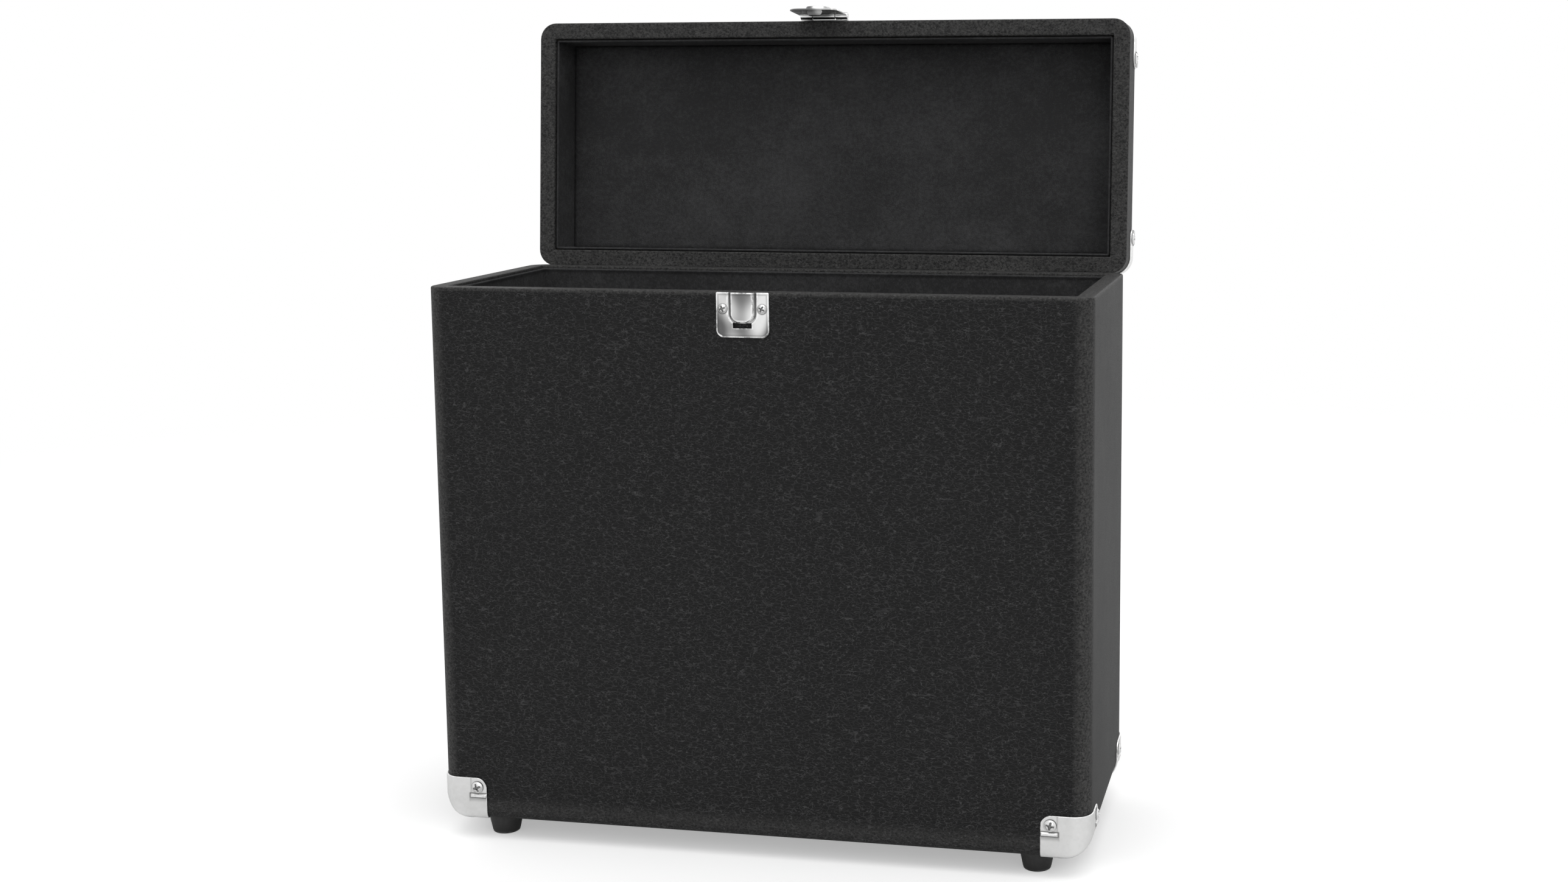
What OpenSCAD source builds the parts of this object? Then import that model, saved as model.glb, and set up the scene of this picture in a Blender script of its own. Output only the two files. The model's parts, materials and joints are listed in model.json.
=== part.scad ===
// Carrying case for twelve-inch records: a covered board body, a hinged lid, one snap latch and a
// folding handle. It stands with its lid open on its stop. Millimetres, +Z up, front towards -Y,
// origin on the floor under the middle of the standing case.

/* [Case] */
// Outside width of the case
case_w = 372; // [350:1:420]
// Outside depth of the body, front to back
case_d = 152; // [120:1:200]
// Height of the body, from its underside to its rim
body_h = 304; // [240:1:340]
// Height of the lid, from its rim to its top
lid_h = 42; // [36:1:70]
// Gap between the two rims when the lid is shut
rim_gap = 0.5; // [0.3:0.1:1]
// How far the lid stands open, in degrees
open_angle = 95; // [91:1:105]
// Radius of the upright edges
edge_r = 10; // [6:0.5:14]
// Radius of the long edges at the two sides, under the body and over the lid
side_r = 14; // [8:0.5:16]
// Radius of the long edges at the front and back, under the body and over the lid
face_r = 4; // [2:0.5:6]

/* [Walls] */
// Thickness of the boards
board_t = 9; // [7:0.5:12]
// Thickness of the leather-like cover over the boards
cover_t = 1; // [0.6:0.1:1.6]
// Thickness of the cloth lining on the walls and the floor
lining_t = 1; // [0.6:0.1:2]
// Thickness of the padded lining inside the lid's top
pad_t = 3; // [1:0.5:6]
// How far the lining stops below the rim
lining_drop = 1.5; // [0.5:0.5:6]

/* [Corner caps] */
// Thickness of a corner cap
cap_t = 1; // [0.6:0.1:1.4]
// Width of a cap along the front, the back and the sides
cap_w = 27; // [24:0.5:34]
// Height of a cap up the walls
cap_h = 24; // [21:0.5:27]
// Width of a cap's flange under the body or over the lid
cap_flange = 17; // [15:0.5:18]
// Radius of a cap's free corners
cap_r = 6; // [3:0.5:8]
// Distance of a cap's screws from its free edges
cap_screw_inset = 5.5; // [5:0.5:7]
// Length of the raised rib under each cap screw
cap_rib_l = 9; // [6:0.5:10]
// Height of the raised rib
cap_rib_h = 2; // [1:0.2:2.4]

/* [Feet] */
// Height of a foot
foot_h = 12; // [8:0.5:20]
// Radius of a foot where it meets the case
foot_top_r = 10; // [9:0.5:12]
// Radius of a foot where it meets the floor
foot_floor_r = 7.7; // [7:0.1:9]
// Distance of a foot's centre from the side of the case
foot_side = 31; // [30:1:45]
// Distance of a foot's centre from the front or the back of the case
foot_face = 16; // [15:1:30]
// Radius of the recess for the screw in a foot
foot_recess_r = 4.5; // [4:0.1:5.5]
// Depth of the recess for the screw in a foot
foot_recess_h = 5; // [4:0.5:6]

/* [Screws] */
// Radius of a screw's head
head_r = 3.3; // [2.8:0.1:3.6]
// Height of a screw's head
head_h = 1.8; // [1.2:0.1:2.4]
// Radius of a screw's shank
shank_r = 1.4; // [1:0.1:1.8]
// Depth of a screw in the wall behind its plate
shank_l = 7; // [5:0.5:7]
// Radius of the smaller heads on the latch
small_head_r = 2.5; // [2:0.1:2.8]
// Gap round a screw's shank in its hole
screw_fit = 0.05; // [0.02:0.01:0.1]

/* [Hinges] */
// Distance of each hinge's middle from the middle of the case
hinge_x = 110; // [70:1:125]
// Length of a hinge
hinge_l = 44; // [36:1:60]
// Height of a hinge leaf
leaf_h = 20; // [16:1:24]
// Thickness of the leaves
leaf_t = 1.2; // [0.8:0.1:1.8]
// Radius of a hinge knuckle
knuckle_r = 2.8; // [2.5:0.1:3.4]
// Radius of a hinge pin
pin_r = 1.4; // [1:0.1:1.6]
// Gap round a pin in its knuckle
pin_fit = 0.05; // [0.02:0.01:0.1]
// How far the hinge line lies below the rim of the body
hinge_drop = 4; // [2:0.5:6]
// Side gap between neighbouring knuckles
knuckle_gap = 0.3; // [0.2:0.1:0.6]

/* [Latch] */
// Distance of the latch from the middle of the case
latch_x = -3; // [-60:1:60]
// Width of the latch plates
latch_w = 29.5; // [28:0.5:36]
// Height of the catch plate on the body
catch_h = 24.5; // [24:0.5:32]
// Thickness of the latch plates
plate_t = 1; // [0.8:0.1:1.4]
// Radius of the plates' free corners
plate_r = 4; // [2:0.5:5]
// Width of the raised tongue on the catch plate
tongue_w = 12.5; // [10:0.5:13]
// Length of the raised tongue
tongue_l = 16; // [14:0.5:17]
// How far the tongue stands out
tongue_h = 1.8; // [1:0.1:2.2]
// Width of the slot under the tongue
slot_w = 10.5; // [10:0.5:12]
// Height of the slot
slot_h = 2.8; // [2.4:0.1:3.4]
// Distance of the latch screws from the plate's middle
latch_screw_x = 11; // [10.5:0.1:11.2]
// Height of the base plate on the lid
base_h = 14; // [12:0.5:18]
// Height of the latch hinge over the lid's rim
latch_hinge_z = 4.5; // [4:0.1:6]
// Radius of the latch hinge's knuckles
latch_knuckle_r = 2.2; // [2:0.1:2.6]
// Radius of the latch pin
latch_pin_r = 1; // [0.8:0.1:1.2]
// Length of the knuckle on the hasp
hasp_knuckle_l = 14; // [10:0.5:16]
// Gap between the shut hasp and the tongue
hasp_gap = 0.6; // [0.4:0.1:1]
// Width of the raised dome on the hasp
dome_w = 15; // [12:0.5:17]
// How far the dome stands out
dome_h = 2.4; // [1.5:0.1:3.5]
// Width of the hasp's hooked lip
lip_w = 8.5; // [6:0.5:9]
// Thickness of the lip
lip_t = 1.2; // [0.8:0.1:1.6]

/* [Handle] */
// Distance between the middles of the two handle brackets
handle_span = 124; // [110:1:180]
// Distance of the grip's middle from the handle's hinge line
grip_reach = 32; // [30:1:38]
// Width of the grip's section
grip_w = 20; // [16:0.5:24]
// Thickness of the grip's section
grip_t = 14; // [10:0.5:15]
// Height of the handle's hinge line over the lid
handle_pin_h = 8.5; // [8:0.1:12]
// Radius of the handle's pins
handle_pin_r = 2; // [1.6:0.1:2.4]
// Radius of the eye at each end of the handle
eye_r = 4.2; // [3.8:0.1:4.6]
// Width of the eye
eye_w = 6; // [5:0.5:8]
// Radius of the round arm between an eye and the grip
arm_r = 2.4; // [2:0.1:2.4]
// Thickness of the bracket's ears and base
ear_t = 1.6; // [1.2:0.1:2]
// Side gap between the eye and the ears
eye_gap = 0.3; // [0.2:0.1:0.6]
// Length of a bracket along the handle
bracket_l = 30; // [28:0.5:36]
// Depth of a bracket across the handle
bracket_d = 14; // [12:0.5:18]

/* [Hidden] */
$fn = 64;

wall_t = cover_t + board_t;             // from the outside to the lining
over = 1;                               // how far a cutter runs past what it cuts
knuckle_off = 0.2;                      // a knuckle stands this far off the wall behind it
hinge_y = knuckle_r + knuckle_off;      // hinge line behind the back of the case
catch_top = body_h;                     // the catch plate is flush with the rim
lid_z = body_h + rim_gap;               // the shut lid's rim
lid_top = lid_z + lid_h;                // the shut lid's top
elbow_r = arm_r + 0.5;                  // knob where an arm turns into the grip
leaf_margin = 2;                        // from a leaf's screw heads to its edges
leaf_screw_x = hinge_l / 2 - head_r - leaf_margin;
bracket_screw_x = bracket_l / 2 - head_r - 0.5;
ear_x = eye_w / 2 + eye_gap;            // inner face of an ear from the bracket's middle
latch_y = plate_t + latch_knuckle_r + knuckle_off;      // latch hinge line out from the lid's front
slot_z = catch_top - tongue_l - slot_h / 2 - 0.5;   // middle of the slot
hasp_in = plate_t + tongue_h + hasp_gap;        // inner face of the shut hasp
lip_z = slot_z - lid_z - latch_hinge_z;         // the lip below the latch hinge line
pocket_t = 2;                           // depth of the hollow behind the slot
lip_in = plate_t / 2;                   // how far out of the wall the shut lip ends
hasp_end = latch_w / 5;                 // the hasp runs on past its lip by this much
screw_z = catch_top - tongue_l * 0.55;  // the catch plate's screws

// Where a point of the shut lid, taken from the hinge line, comes to when the lid stands open.
function stood_y(y, z) = y * cos(open_angle) + z * sin(open_angle);
handle_out = stood_y(-case_d / 2 - hinge_y, lid_top - body_h + hinge_drop + handle_pin_h);
back_reach = case_d + hinge_y + handle_out + grip_t / 2;
front_reach = -cap_t - head_h;
mid_y = (front_reach + back_reach) / 2;

// Puts a piece of the body, drawn from the case's front and underside, where it stands.
module stand() translate([0, -mid_y, foot_h]) children();

// Puts a piece of the shut lid where it is when the lid stands open.
module lid_stand() stand() translate([0, case_d + hinge_y, body_h - hinge_drop])
    rotate([-open_angle, 0, 0]) translate([0, -case_d - hinge_y, hinge_drop - body_h]) children();

// The lid is a shallow tub of the body's form, turned over.
module lid_tub() lid_stand() translate([0, 0, lid_top]) mirror([0, 0, 1]) children();

module round_rect(w, d, r) {
    square([w - 2 * r, d], center = true);
    square([w, d - 2 * r], center = true);
    for (x = [-1, 1], y = [-1, 1]) translate([x * (w / 2 - r), y * (d / 2 - r)]) circle(r);
}

// A section w wide and h high with its two bottom corners round.
module bowl_section(w, h, r) {
    translate([-w / 2, r]) square([w, h - r]);
    translate([-w / 2 + r, 0]) square([w - 2 * r, h]);
    for (x = [-1, 1]) translate([x * (w / 2 - r), r]) circle(r);
}

// The outside of a tub h high, drawn in by the inset on every face but its rim.
module block(h, inset) {
    w = case_w - 2 * inset;
    d = case_d - 2 * inset;
    translate([0, case_d / 2, inset]) intersection() {
        linear_extrude(h - inset) round_rect(w, d, edge_r - inset);
        translate([0, d / 2, 0]) rotate([90, 0, 0])
            linear_extrude(d) bowl_section(w, h - inset, side_r - inset);
        translate([-w / 2, 0, 0]) rotate([90, 0, 90])
            linear_extrude(w) bowl_section(d, h - inset, face_r - min(inset, face_r - 1));
    }
}

// The room inside the walls, open at the rim.
module room(h, inset) translate([-case_w / 2 + inset, inset, inset])
    cube([case_w - 2 * inset, case_d - 2 * inset, h]);

// Keeps what lies between two distances from the front, or from the left side.
module slab_y(y0, y1, h) intersection() {
    children();
    translate([-case_w, y0, -over]) cube([2 * case_w, y1 - y0, h + 2 * over]);
}
module slab_x(x0, x1, h) intersection() {
    children();
    translate([x0 - case_w / 2, wall_t, -over])
        cube([x1 - x0, case_d - 2 * wall_t, h + 2 * over]);
}

module timber() color("#a88a5c") children();
module leatherette() color("#2d2d2d") children();
module lining_cloth() color("#1f1f22") children();
module nickel() color("#d6d6d4") children();
module bright_steel() color("#c4c4c4") children();
module black_rubber() color("#232323") children();
module moulded() color("#262626") children();

// Boards of a tub h high, with a wall at the front, the back and each side, and a floor.
module board_block(h) intersection() {
    block(h, cover_t);
    translate([-case_w, -over, 0]) cube([2 * case_w, case_d + 2 * over, h - cover_t]);
}
module front_wall(h) slab_y(cover_t, wall_t, h) board_block(h);
module back_wall(h) slab_y(case_d - wall_t, case_d - cover_t, h) board_block(h);
module side_wall(h, side) {
    x0 = side < 0 ? cover_t : case_w - wall_t;
    slab_x(x0, x0 + board_t, h) board_block(h);
}
module floor_board(h) intersection() {
    slab_x(wall_t, case_w - wall_t, h) board_block(h);
    translate([-case_w, 0, 0]) cube([2 * case_w, case_d, wall_t]);
}

module tub_cover(h) difference() {
    block(h, 0);
    board_block(h);
    room(h, wall_t);
}
module wall_lining(h, floor_t) difference() {
    translate([0, 0, floor_t]) room(h - wall_t - floor_t - lining_drop, wall_t);
    translate([0, 0, floor_t - over]) room(h, wall_t + lining_t);
}
module floor_lining(t) translate([-case_w / 2 + wall_t, wall_t, wall_t])
    cube([case_w - 2 * wall_t, case_d - 2 * wall_t, t]);

// A plate from the origin to [a, b] with its far corner round, run on behind the origin.
module free_corner(a, b, r) {
    run = 4 * cap_t;
    translate([-run, -run]) square([a + run - r, b + run]);
    translate([-run, -run]) square([a + run, b + run - r]);
    translate([a - r, b - r]) circle(r);
}

// Puts a child drawn at the front right bottom corner of a tub at one of its four corners.
module at_corner(side, face) translate([0, case_d / 2, 0])
    mirror([side < 0 ? 1 : 0, 0, 0]) mirror([0, face > 0 ? 1 : 0, 0])
    translate([0, -case_d / 2, 0]) children();

// The two screws of the corner cap at the front right bottom corner, on the cap's outer face.
module cap_screw_places() {
    z = cap_h - cap_screw_inset;
    translate([case_w / 2 - cap_w + cap_screw_inset, -cap_t, z]) rotate([90, 0, 0]) children();
    translate([case_w / 2 + cap_t, cap_w - cap_screw_inset, z]) rotate([0, 90, 0]) children();
}
module all_cap_screw_places() for (side = [-1, 1], face = [-1, 1]) at_corner(side, face)
    cap_screw_places() children();

module corner_cap(h, side, face) nickel() at_corner(side, face) difference() {
    union() {
        intersection() {
            translate([0, -cap_t, -cap_t]) cap_block(h);
            translate([case_w / 2, case_d, 0]) rotate([90, 0, 0]) linear_extrude(case_d + 2 * cap_t)
                mirror([1, 0]) free_corner(cap_w, cap_h, cap_r);
            translate([case_w / 2 - 2 * cap_w, 0, 0]) rotate([90, 0, 90])
                linear_extrude(2 * cap_w + 2 * cap_t) free_corner(cap_w, cap_h, cap_r);
        }
        cap_ribs();
    }
    block(h, 0);
    translate([case_w / 2, 0, -2 * cap_t]) linear_extrude(2 * cap_t) difference() {
        translate([-2 * cap_w, -over]) square([2 * cap_w - face_r, 2 * cap_w]);
        mirror([1, 0]) free_corner(cap_flange, cap_flange, cap_r);
    }
    cap_screw_places() screw_hole();
}
// The tub's outside, grown by the cap's thickness on every face.
module cap_block(h) {
    w = case_w + 2 * cap_t;
    d = case_d + 2 * cap_t;
    translate([0, d / 2, 0]) intersection() {
        linear_extrude(h) round_rect(w, d, edge_r + cap_t);
        translate([0, d / 2, 0]) rotate([90, 0, 0])
            linear_extrude(d) bowl_section(w, h, side_r + cap_t);
        translate([-w / 2, 0, 0]) rotate([90, 0, 90])
            linear_extrude(w) bowl_section(d, h, face_r + cap_t);
    }
}
// A short raised rib below each screw of the cap.
module cap_ribs() {
    z = cap_h - cap_screw_inset - head_r - 1.2 * cap_rib_h;
    rib_t = 1.6 * cap_t;
    translate([case_w / 2 - cap_w, -rib_t, z]) cube([cap_rib_l, rib_t, cap_rib_h]);
    translate([case_w / 2, cap_w - cap_rib_l, z]) cube([rib_t, cap_rib_l, cap_rib_h]);
}

// A domed screw along -Z, its head's underside at the origin, through a plate of thickness t.
module screw(r, t) bright_steel() {
    dome_r = (r * r + head_h * head_h) / (2 * head_h);
    intersection() {
        translate([0, 0, head_h - dome_r]) sphere(dome_r);
        cylinder(r = r, h = head_h);
    }
    translate([0, 0, -shank_l - t]) cylinder(r = shank_r, h = shank_l + t + head_h / 2);
}
module screw_hole() translate([0, 0, -shank_l - 2 * cap_t])
    cylinder(r = shank_r + screw_fit, h = shank_l + 4 * cap_t);

module foot_places() for (side = [-1, 1], face = [-1, 1]) foot_place(side, face) children();
module foot_place(side, face) translate([side * (case_w / 2 - foot_side),
    face < 0 ? foot_face : case_d - foot_face, 0]) children();
module foot() black_rubber() difference() {
    translate([0, 0, -foot_h]) cylinder(r1 = foot_floor_r, r2 = foot_top_r, h = foot_h);
    translate([0, 0, -foot_h - over]) cylinder(r = foot_recess_r, h = foot_recess_h + over);
    cylinder(r = shank_r + screw_fit, h = 3 * foot_h, center = true);
}
// A foot's screw: its head in the recess, its shank up through the foot into the board.
module foot_screw() translate([0, 0, foot_recess_h - foot_h]) mirror([0, 0, 1])
    screw(head_r, foot_h - foot_recess_h);
module foot_hole() cylinder(r = shank_r + screw_fit, h = 2 * shank_l + 2 * over, center = true);

// A plate w wide and h high whose two bottom corners are round.
module latch_plate(w, h) bowl_section(w, h, plate_r);

module latch_place() translate([latch_x, 0, 0]) children();
module catch_screw_places() latch_place() for (x = [-1, 1])
    translate([x * latch_screw_x, -plate_t, screw_z]) rotate([90, 0, 0]) children();
module tongue() translate([0, tongue_w / 2]) {
    circle(tongue_w / 2);
    translate([-tongue_w / 2, 0]) square([tongue_w, tongue_l - tongue_w / 2]);
}
// The hollow behind the slot, which the lip enters.
module slot_room(depth, grow) translate([-slot_w / 2 - grow, -plate_t - over, slot_z - slot_h / 2 - grow])
    cube([slot_w + 2 * grow, plate_t + over + depth, slot_h + 2 * grow]);
module latch_catch_plate() nickel() difference() {
    latch_place() {
        rotate([90, 0, 0]) linear_extrude(plate_t) translate([0, catch_top - catch_h])
            latch_plate(latch_w, catch_h);
        rotate([90, 0, 0]) linear_extrude(plate_t + tongue_h) translate([0, catch_top - tongue_l])
            tongue();
    }
    latch_place() slot_room(0, 0);
    catch_screw_places() screw_hole();
}

module base_screw_places() latch_place() for (x = [-1, 1])
    translate([x * latch_screw_x, -plate_t, lid_z + base_h - head_r]) rotate([90, 0, 0]) children();
// A length of the latch's knuckle, centred, with the bore for the pin.
module latch_knuckle(l) rotate([0, 90, 0]) difference() {
    cylinder(r = latch_knuckle_r, h = l, center = true);
    cylinder(r = latch_pin_r + pin_fit, h = l + 2 * over, center = true);
}
module latch_axis() latch_place() translate([0, -latch_y, lid_z + latch_hinge_z]) children();
outer_knuckle_l = (latch_w - hasp_knuckle_l) / 2 - knuckle_gap;
// The plate on the lid: two knuckles at its ends, each joined to it by a web.
module latch_base_plate() nickel() {
    difference() {
        latch_place() translate([-latch_w / 2, -plate_t, lid_z + latch_hinge_z])
            cube([latch_w, plate_t, base_h - latch_hinge_z]);
        base_screw_places() screw_hole();
    }
    for (x = [-1, 1]) latch_axis() translate([x * (latch_w - outer_knuckle_l) / 2, 0, 0]) {
        latch_knuckle(outer_knuckle_l);
        difference() {
            translate([-outer_knuckle_l / 2, 0, 0]) cube([outer_knuckle_l, latch_y, latch_knuckle_r]);
            rotate([0, 90, 0]) cylinder(r = latch_knuckle_r, h = latch_w, center = true);
        }
    }
}
module latch_pin() bright_steel() latch_axis() rotate([0, 90, 0])
    cylinder(r = latch_pin_r, h = latch_w, center = true);
// The hasp, drawn shut from its hinge line.
module latch_hasp() nickel() latch_axis() {
    wing_top = -latch_knuckle_r - 2 * knuckle_gap;
    bottom = lip_z - hasp_end;
    face = latch_y - hasp_in;
    latch_knuckle(hasp_knuckle_l);
    translate([0, face, 0]) rotate([90, 0, 0]) {
        linear_extrude(plate_t) translate([0, bottom]) latch_plate(latch_w, wing_top - bottom);
        linear_extrude(plate_t + dome_h) translate([0, lip_z + lip_t]) dome(wing_top - lip_z - lip_t);
    }
    difference() {
        translate([-hasp_knuckle_l / 2, face - plate_t, wing_top - over])
            cube([hasp_knuckle_l, plate_t, over - wing_top]);
        rotate([0, 90, 0]) cylinder(r = latch_pin_r + pin_fit, h = latch_w, center = true);
    }
    translate([-lip_w / 2, face, lip_z - lip_t / 2]) cube([lip_w, hasp_in - lip_in, lip_t]);
}
module dome(l) {
    translate([0, dome_w / 2]) circle(dome_w / 2);
    translate([-dome_w / 2, dome_w / 2]) square([dome_w, l - dome_w / 2]);
}

module hinge_place(side) translate([side * hinge_x, case_d + hinge_y, body_h - hinge_drop])
    children();
module knuckle(l) rotate([0, 90, 0]) rotate(45) cylinder(r = knuckle_r, h = l, center = true);
knuckle_l = (hinge_l - 6 * knuckle_gap) / 3;
// A leaf h high that starts at height z0 below or above the hinge line, against the wall.
module leaf(z0, z1) translate([-hinge_l / 2, -hinge_y, z0]) cube([hinge_l, leaf_t, z1 - z0]);
module leaf_web(x, z0, z1) translate([x - knuckle_l / 2, -hinge_y, z0])
    cube([knuckle_l, leaf_t, z1 - z0]);
module pin_bore() rotate([0, 90, 0])
    cylinder(r = pin_r + pin_fit, h = hinge_l + 2 * over, center = true);
outer_x = knuckle_l + 2 * knuckle_gap;
module body_leaf(side) nickel() hinge_place(side) difference() {
    union() {
        leaf(-leaf_h, -knuckle_r - 2 * knuckle_gap);
        for (x = [-1, 1]) {
            translate([x * outer_x, 0, 0]) knuckle(knuckle_l);
            leaf_web(x * outer_x, -knuckle_r - 3 * knuckle_gap, 0);
        }
    }
    pin_bore();
    leaf_screws(-1) screw_hole();
}
module lid_leaf(side) nickel() hinge_place(side) difference() {
    union() {
        leaf(hinge_drop + rim_gap, leaf_h);
        knuckle(knuckle_l);
        leaf_web(0, 0, hinge_drop + 2 * rim_gap);
    }
    pin_bore();
    leaf_screws(1) screw_hole();
}
// The two screws of a leaf, on its outer face, below (-1) or above (1) the hinge line.
module leaf_screws(up) for (x = [-1, 1])
    translate([x * leaf_screw_x, leaf_t - hinge_y, up * (leaf_h - head_r - leaf_margin)])
    rotate([-90, 0, 0]) children();
module all_leaf_screws(up) for (side = [-1, 1]) hinge_place(side) leaf_screws(up) children();
module hinge_pin(side) bright_steel() hinge_place(side) rotate([0, 90, 0])
    cylinder(r = pin_r, h = hinge_l, center = true);

module handle_place() translate([0, case_d / 2, lid_top]) children();
module bracket_place(side) handle_place() translate([side * handle_span / 2, 0, 0]) children();
module bracket_screw_places(side) bracket_place(side) for (x = [-1, 1])
    translate([x * bracket_screw_x, 0, ear_t]) children();
module all_bracket_screws() for (side = [-1, 1]) bracket_screw_places(side) children();
// A bracket: a base with two ears, which hold the pin across the handle's eye.
module handle_bracket(side) nickel() difference() {
    bracket_place(side) {
        linear_extrude(ear_t) round_rect(bracket_l, bracket_d, plate_r);
        for (x = [-ear_x - ear_t, ear_x]) translate([x, 0, 0]) {
            translate([0, -eye_r, 0]) cube([ear_t, 2 * eye_r, handle_pin_h]);
            translate([0, 0, handle_pin_h]) rotate([0, 90, 0]) cylinder(r = eye_r, h = ear_t);
        }
    }
    bracket_place(side) translate([0, 0, handle_pin_h]) rotate([0, 90, 0])
        cylinder(r = handle_pin_r + pin_fit, h = bracket_l, center = true);
    bracket_screw_places(side) screw_hole();
}
module handle_pin(side) bright_steel() bracket_place(side) translate([0, 0, handle_pin_h])
    rotate([0, 90, 0]) cylinder(r = handle_pin_r, h = 2 * (ear_x + ear_t), center = true);
// The handle, drawn flat towards the back and turned so that it hangs on the standing lid.
module handle_swing() handle_place() translate([0, 0, handle_pin_h])
    rotate([open_angle - 90, 0, 0]) children();
grip_gap = 2;                           // from an eye to the grip's end
grip_l = handle_span - 2 * (eye_r + grip_gap);
module handle_arm(side) nickel() handle_swing() difference() {
    translate([side * handle_span / 2, 0, 0]) {
        rotate([0, 90, 0]) cylinder(r = eye_r, h = eye_w, center = true);
        rotate([-90, 0, 0]) cylinder(r = arm_r, h = grip_reach);
        translate([0, grip_reach, 0]) rotate(90) sphere(elbow_r);
        translate([0, grip_reach, 0]) rotate([0, -side * 90, 0])
            cylinder(r = arm_r, h = (handle_span - grip_l) / 2 + shank_l);
    }
    rotate([0, 90, 0]) cylinder(r = handle_pin_r + pin_fit, h = 2 * handle_span, center = true);
}
// The grip: a bar with round edges, bored at each end for the arms.
module handle_grip() moulded() handle_swing() translate([0, grip_reach, 0]) difference() {
    rotate([0, 90, 0]) linear_extrude(grip_l, center = true) round_rect(grip_t, grip_w, grip_t / 2 - 1);
    for (side = [-1, 1]) translate([side * grip_l / 2, 0, 0]) rotate([0, 90, 0])
        cylinder(r = arm_r + screw_fit, h = 2 * (shank_l + screw_fit), center = true);
}

// Walls with the holes that the fittings' screws go into.
module body_wall() timber() stand() difference() {
    children();
    all_cap_screw_places() screw_hole();
    catch_screw_places() screw_hole();
    all_leaf_screws(-1) screw_hole();
    latch_place() slot_room(pocket_t, screw_fit);
    foot_places() foot_hole();
}
module lid_tub_wall() timber() lid_stand() difference() {
    translate([0, 0, lid_top]) mirror([0, 0, 1]) children();
    translate([0, 0, lid_top]) mirror([0, 0, 1]) all_cap_screw_places() screw_hole();
    base_screw_places() screw_hole();
    all_leaf_screws(1) screw_hole();
    all_bracket_screws() screw_hole();
}

module front_board() body_wall() front_wall(body_h);
module back_board() body_wall() back_wall(body_h);
module left_board() body_wall() side_wall(body_h, -1);
module right_board() body_wall() side_wall(body_h, 1);
module bottom_board() body_wall() floor_board(body_h);
module body_cover() leatherette() stand() difference() {
    tub_cover(body_h);
    all_cap_screw_places() screw_hole();
    catch_screw_places() screw_hole();
    all_leaf_screws(-1) screw_hole();
    latch_place() slot_room(pocket_t, screw_fit);
    foot_places() foot_hole();
}
module body_wall_lining() lining_cloth() stand() wall_lining(body_h, lining_t);
module body_floor_lining() lining_cloth() stand() floor_lining(lining_t);
module lid_front_board() lid_tub_wall() front_wall(lid_h);
module lid_back_board() lid_tub_wall() back_wall(lid_h);
module lid_left_board() lid_tub_wall() side_wall(lid_h, -1);
module lid_right_board() lid_tub_wall() side_wall(lid_h, 1);
module lid_top_board() lid_tub_wall() floor_board(lid_h);
module lid_cover() leatherette() lid_stand() difference() {
    translate([0, 0, lid_top]) mirror([0, 0, 1]) tub_cover(lid_h);
    translate([0, 0, lid_top]) mirror([0, 0, 1]) all_cap_screw_places() screw_hole();
    base_screw_places() screw_hole();
    all_leaf_screws(1) screw_hole();
    all_bracket_screws() screw_hole();
}
module lid_wall_lining() lining_cloth() lid_tub() wall_lining(lid_h, pad_t);
module lid_top_lining() lining_cloth() lid_tub() floor_lining(pad_t);

front_board();
back_board();
left_board();
right_board();
bottom_board();
body_cover();
body_wall_lining();
body_floor_lining();
stand() corner_cap(body_h, -1, -1);  // body_cap_front_left
stand() corner_cap(body_h, 1, -1);  // body_cap_front_right
stand() corner_cap(body_h, -1, 1);  // body_cap_back_left
stand() corner_cap(body_h, 1, 1);  // body_cap_back_right
stand() all_cap_screw_places() screw(head_r, cap_t);  // body_cap_screws
stand() foot_place(-1, -1) foot();  // foot_front_left
stand() foot_place(1, -1) foot();  // foot_front_right
stand() foot_place(-1, 1) foot();  // foot_back_left
stand() foot_place(1, 1) foot();  // foot_back_right
stand() foot_places() foot_screw();  // foot_screws
stand() latch_catch_plate();
stand() catch_screw_places() screw(small_head_r, plate_t);  // catch_plate_screws
stand() body_leaf(-1);  // left_hinge_body_leaf
stand() body_leaf(1);  // right_hinge_body_leaf
stand() hinge_pin(-1);  // left_hinge_pin
stand() hinge_pin(1);  // right_hinge_pin
stand() all_leaf_screws(-1) screw(small_head_r, leaf_t);  // body_leaf_screws
lid_front_board();
lid_back_board();
lid_left_board();
lid_right_board();
lid_top_board();
lid_cover();
lid_wall_lining();
lid_top_lining();
lid_tub() corner_cap(lid_h, -1, -1);  // lid_cap_front_left
lid_tub() corner_cap(lid_h, 1, -1);  // lid_cap_front_right
lid_tub() corner_cap(lid_h, -1, 1);  // lid_cap_back_left
lid_tub() corner_cap(lid_h, 1, 1);  // lid_cap_back_right
lid_tub() all_cap_screw_places() screw(head_r, cap_t);  // lid_cap_screws
lid_stand() latch_base_plate();
lid_stand() base_screw_places() screw(small_head_r, plate_t);  // base_plate_screws
lid_stand() latch_pin();
lid_stand() latch_hasp();
lid_stand() lid_leaf(-1);  // left_hinge_lid_leaf
lid_stand() lid_leaf(1);  // right_hinge_lid_leaf
lid_stand() all_leaf_screws(1) screw(small_head_r, leaf_t);  // lid_leaf_screws
lid_stand() handle_bracket(-1);  // left_handle_bracket
lid_stand() handle_bracket(1);  // right_handle_bracket
lid_stand() all_bracket_screws() screw(small_head_r, ear_t);  // bracket_screws
lid_stand() handle_pin(-1);  // left_handle_pin
lid_stand() handle_pin(1);  // right_handle_pin
lid_stand() handle_grip();
lid_stand() handle_arm(-1);  // left_handle_arm
lid_stand() handle_arm(1);  // right_handle_arm
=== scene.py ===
import json
from math import cos, exp, pi, radians, sin, sqrt

import bmesh
import bpy
import numpy as np
from bpy.props import FloatProperty, FloatVectorProperty, PointerProperty
from mathutils import Matrix, Vector, noise


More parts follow.
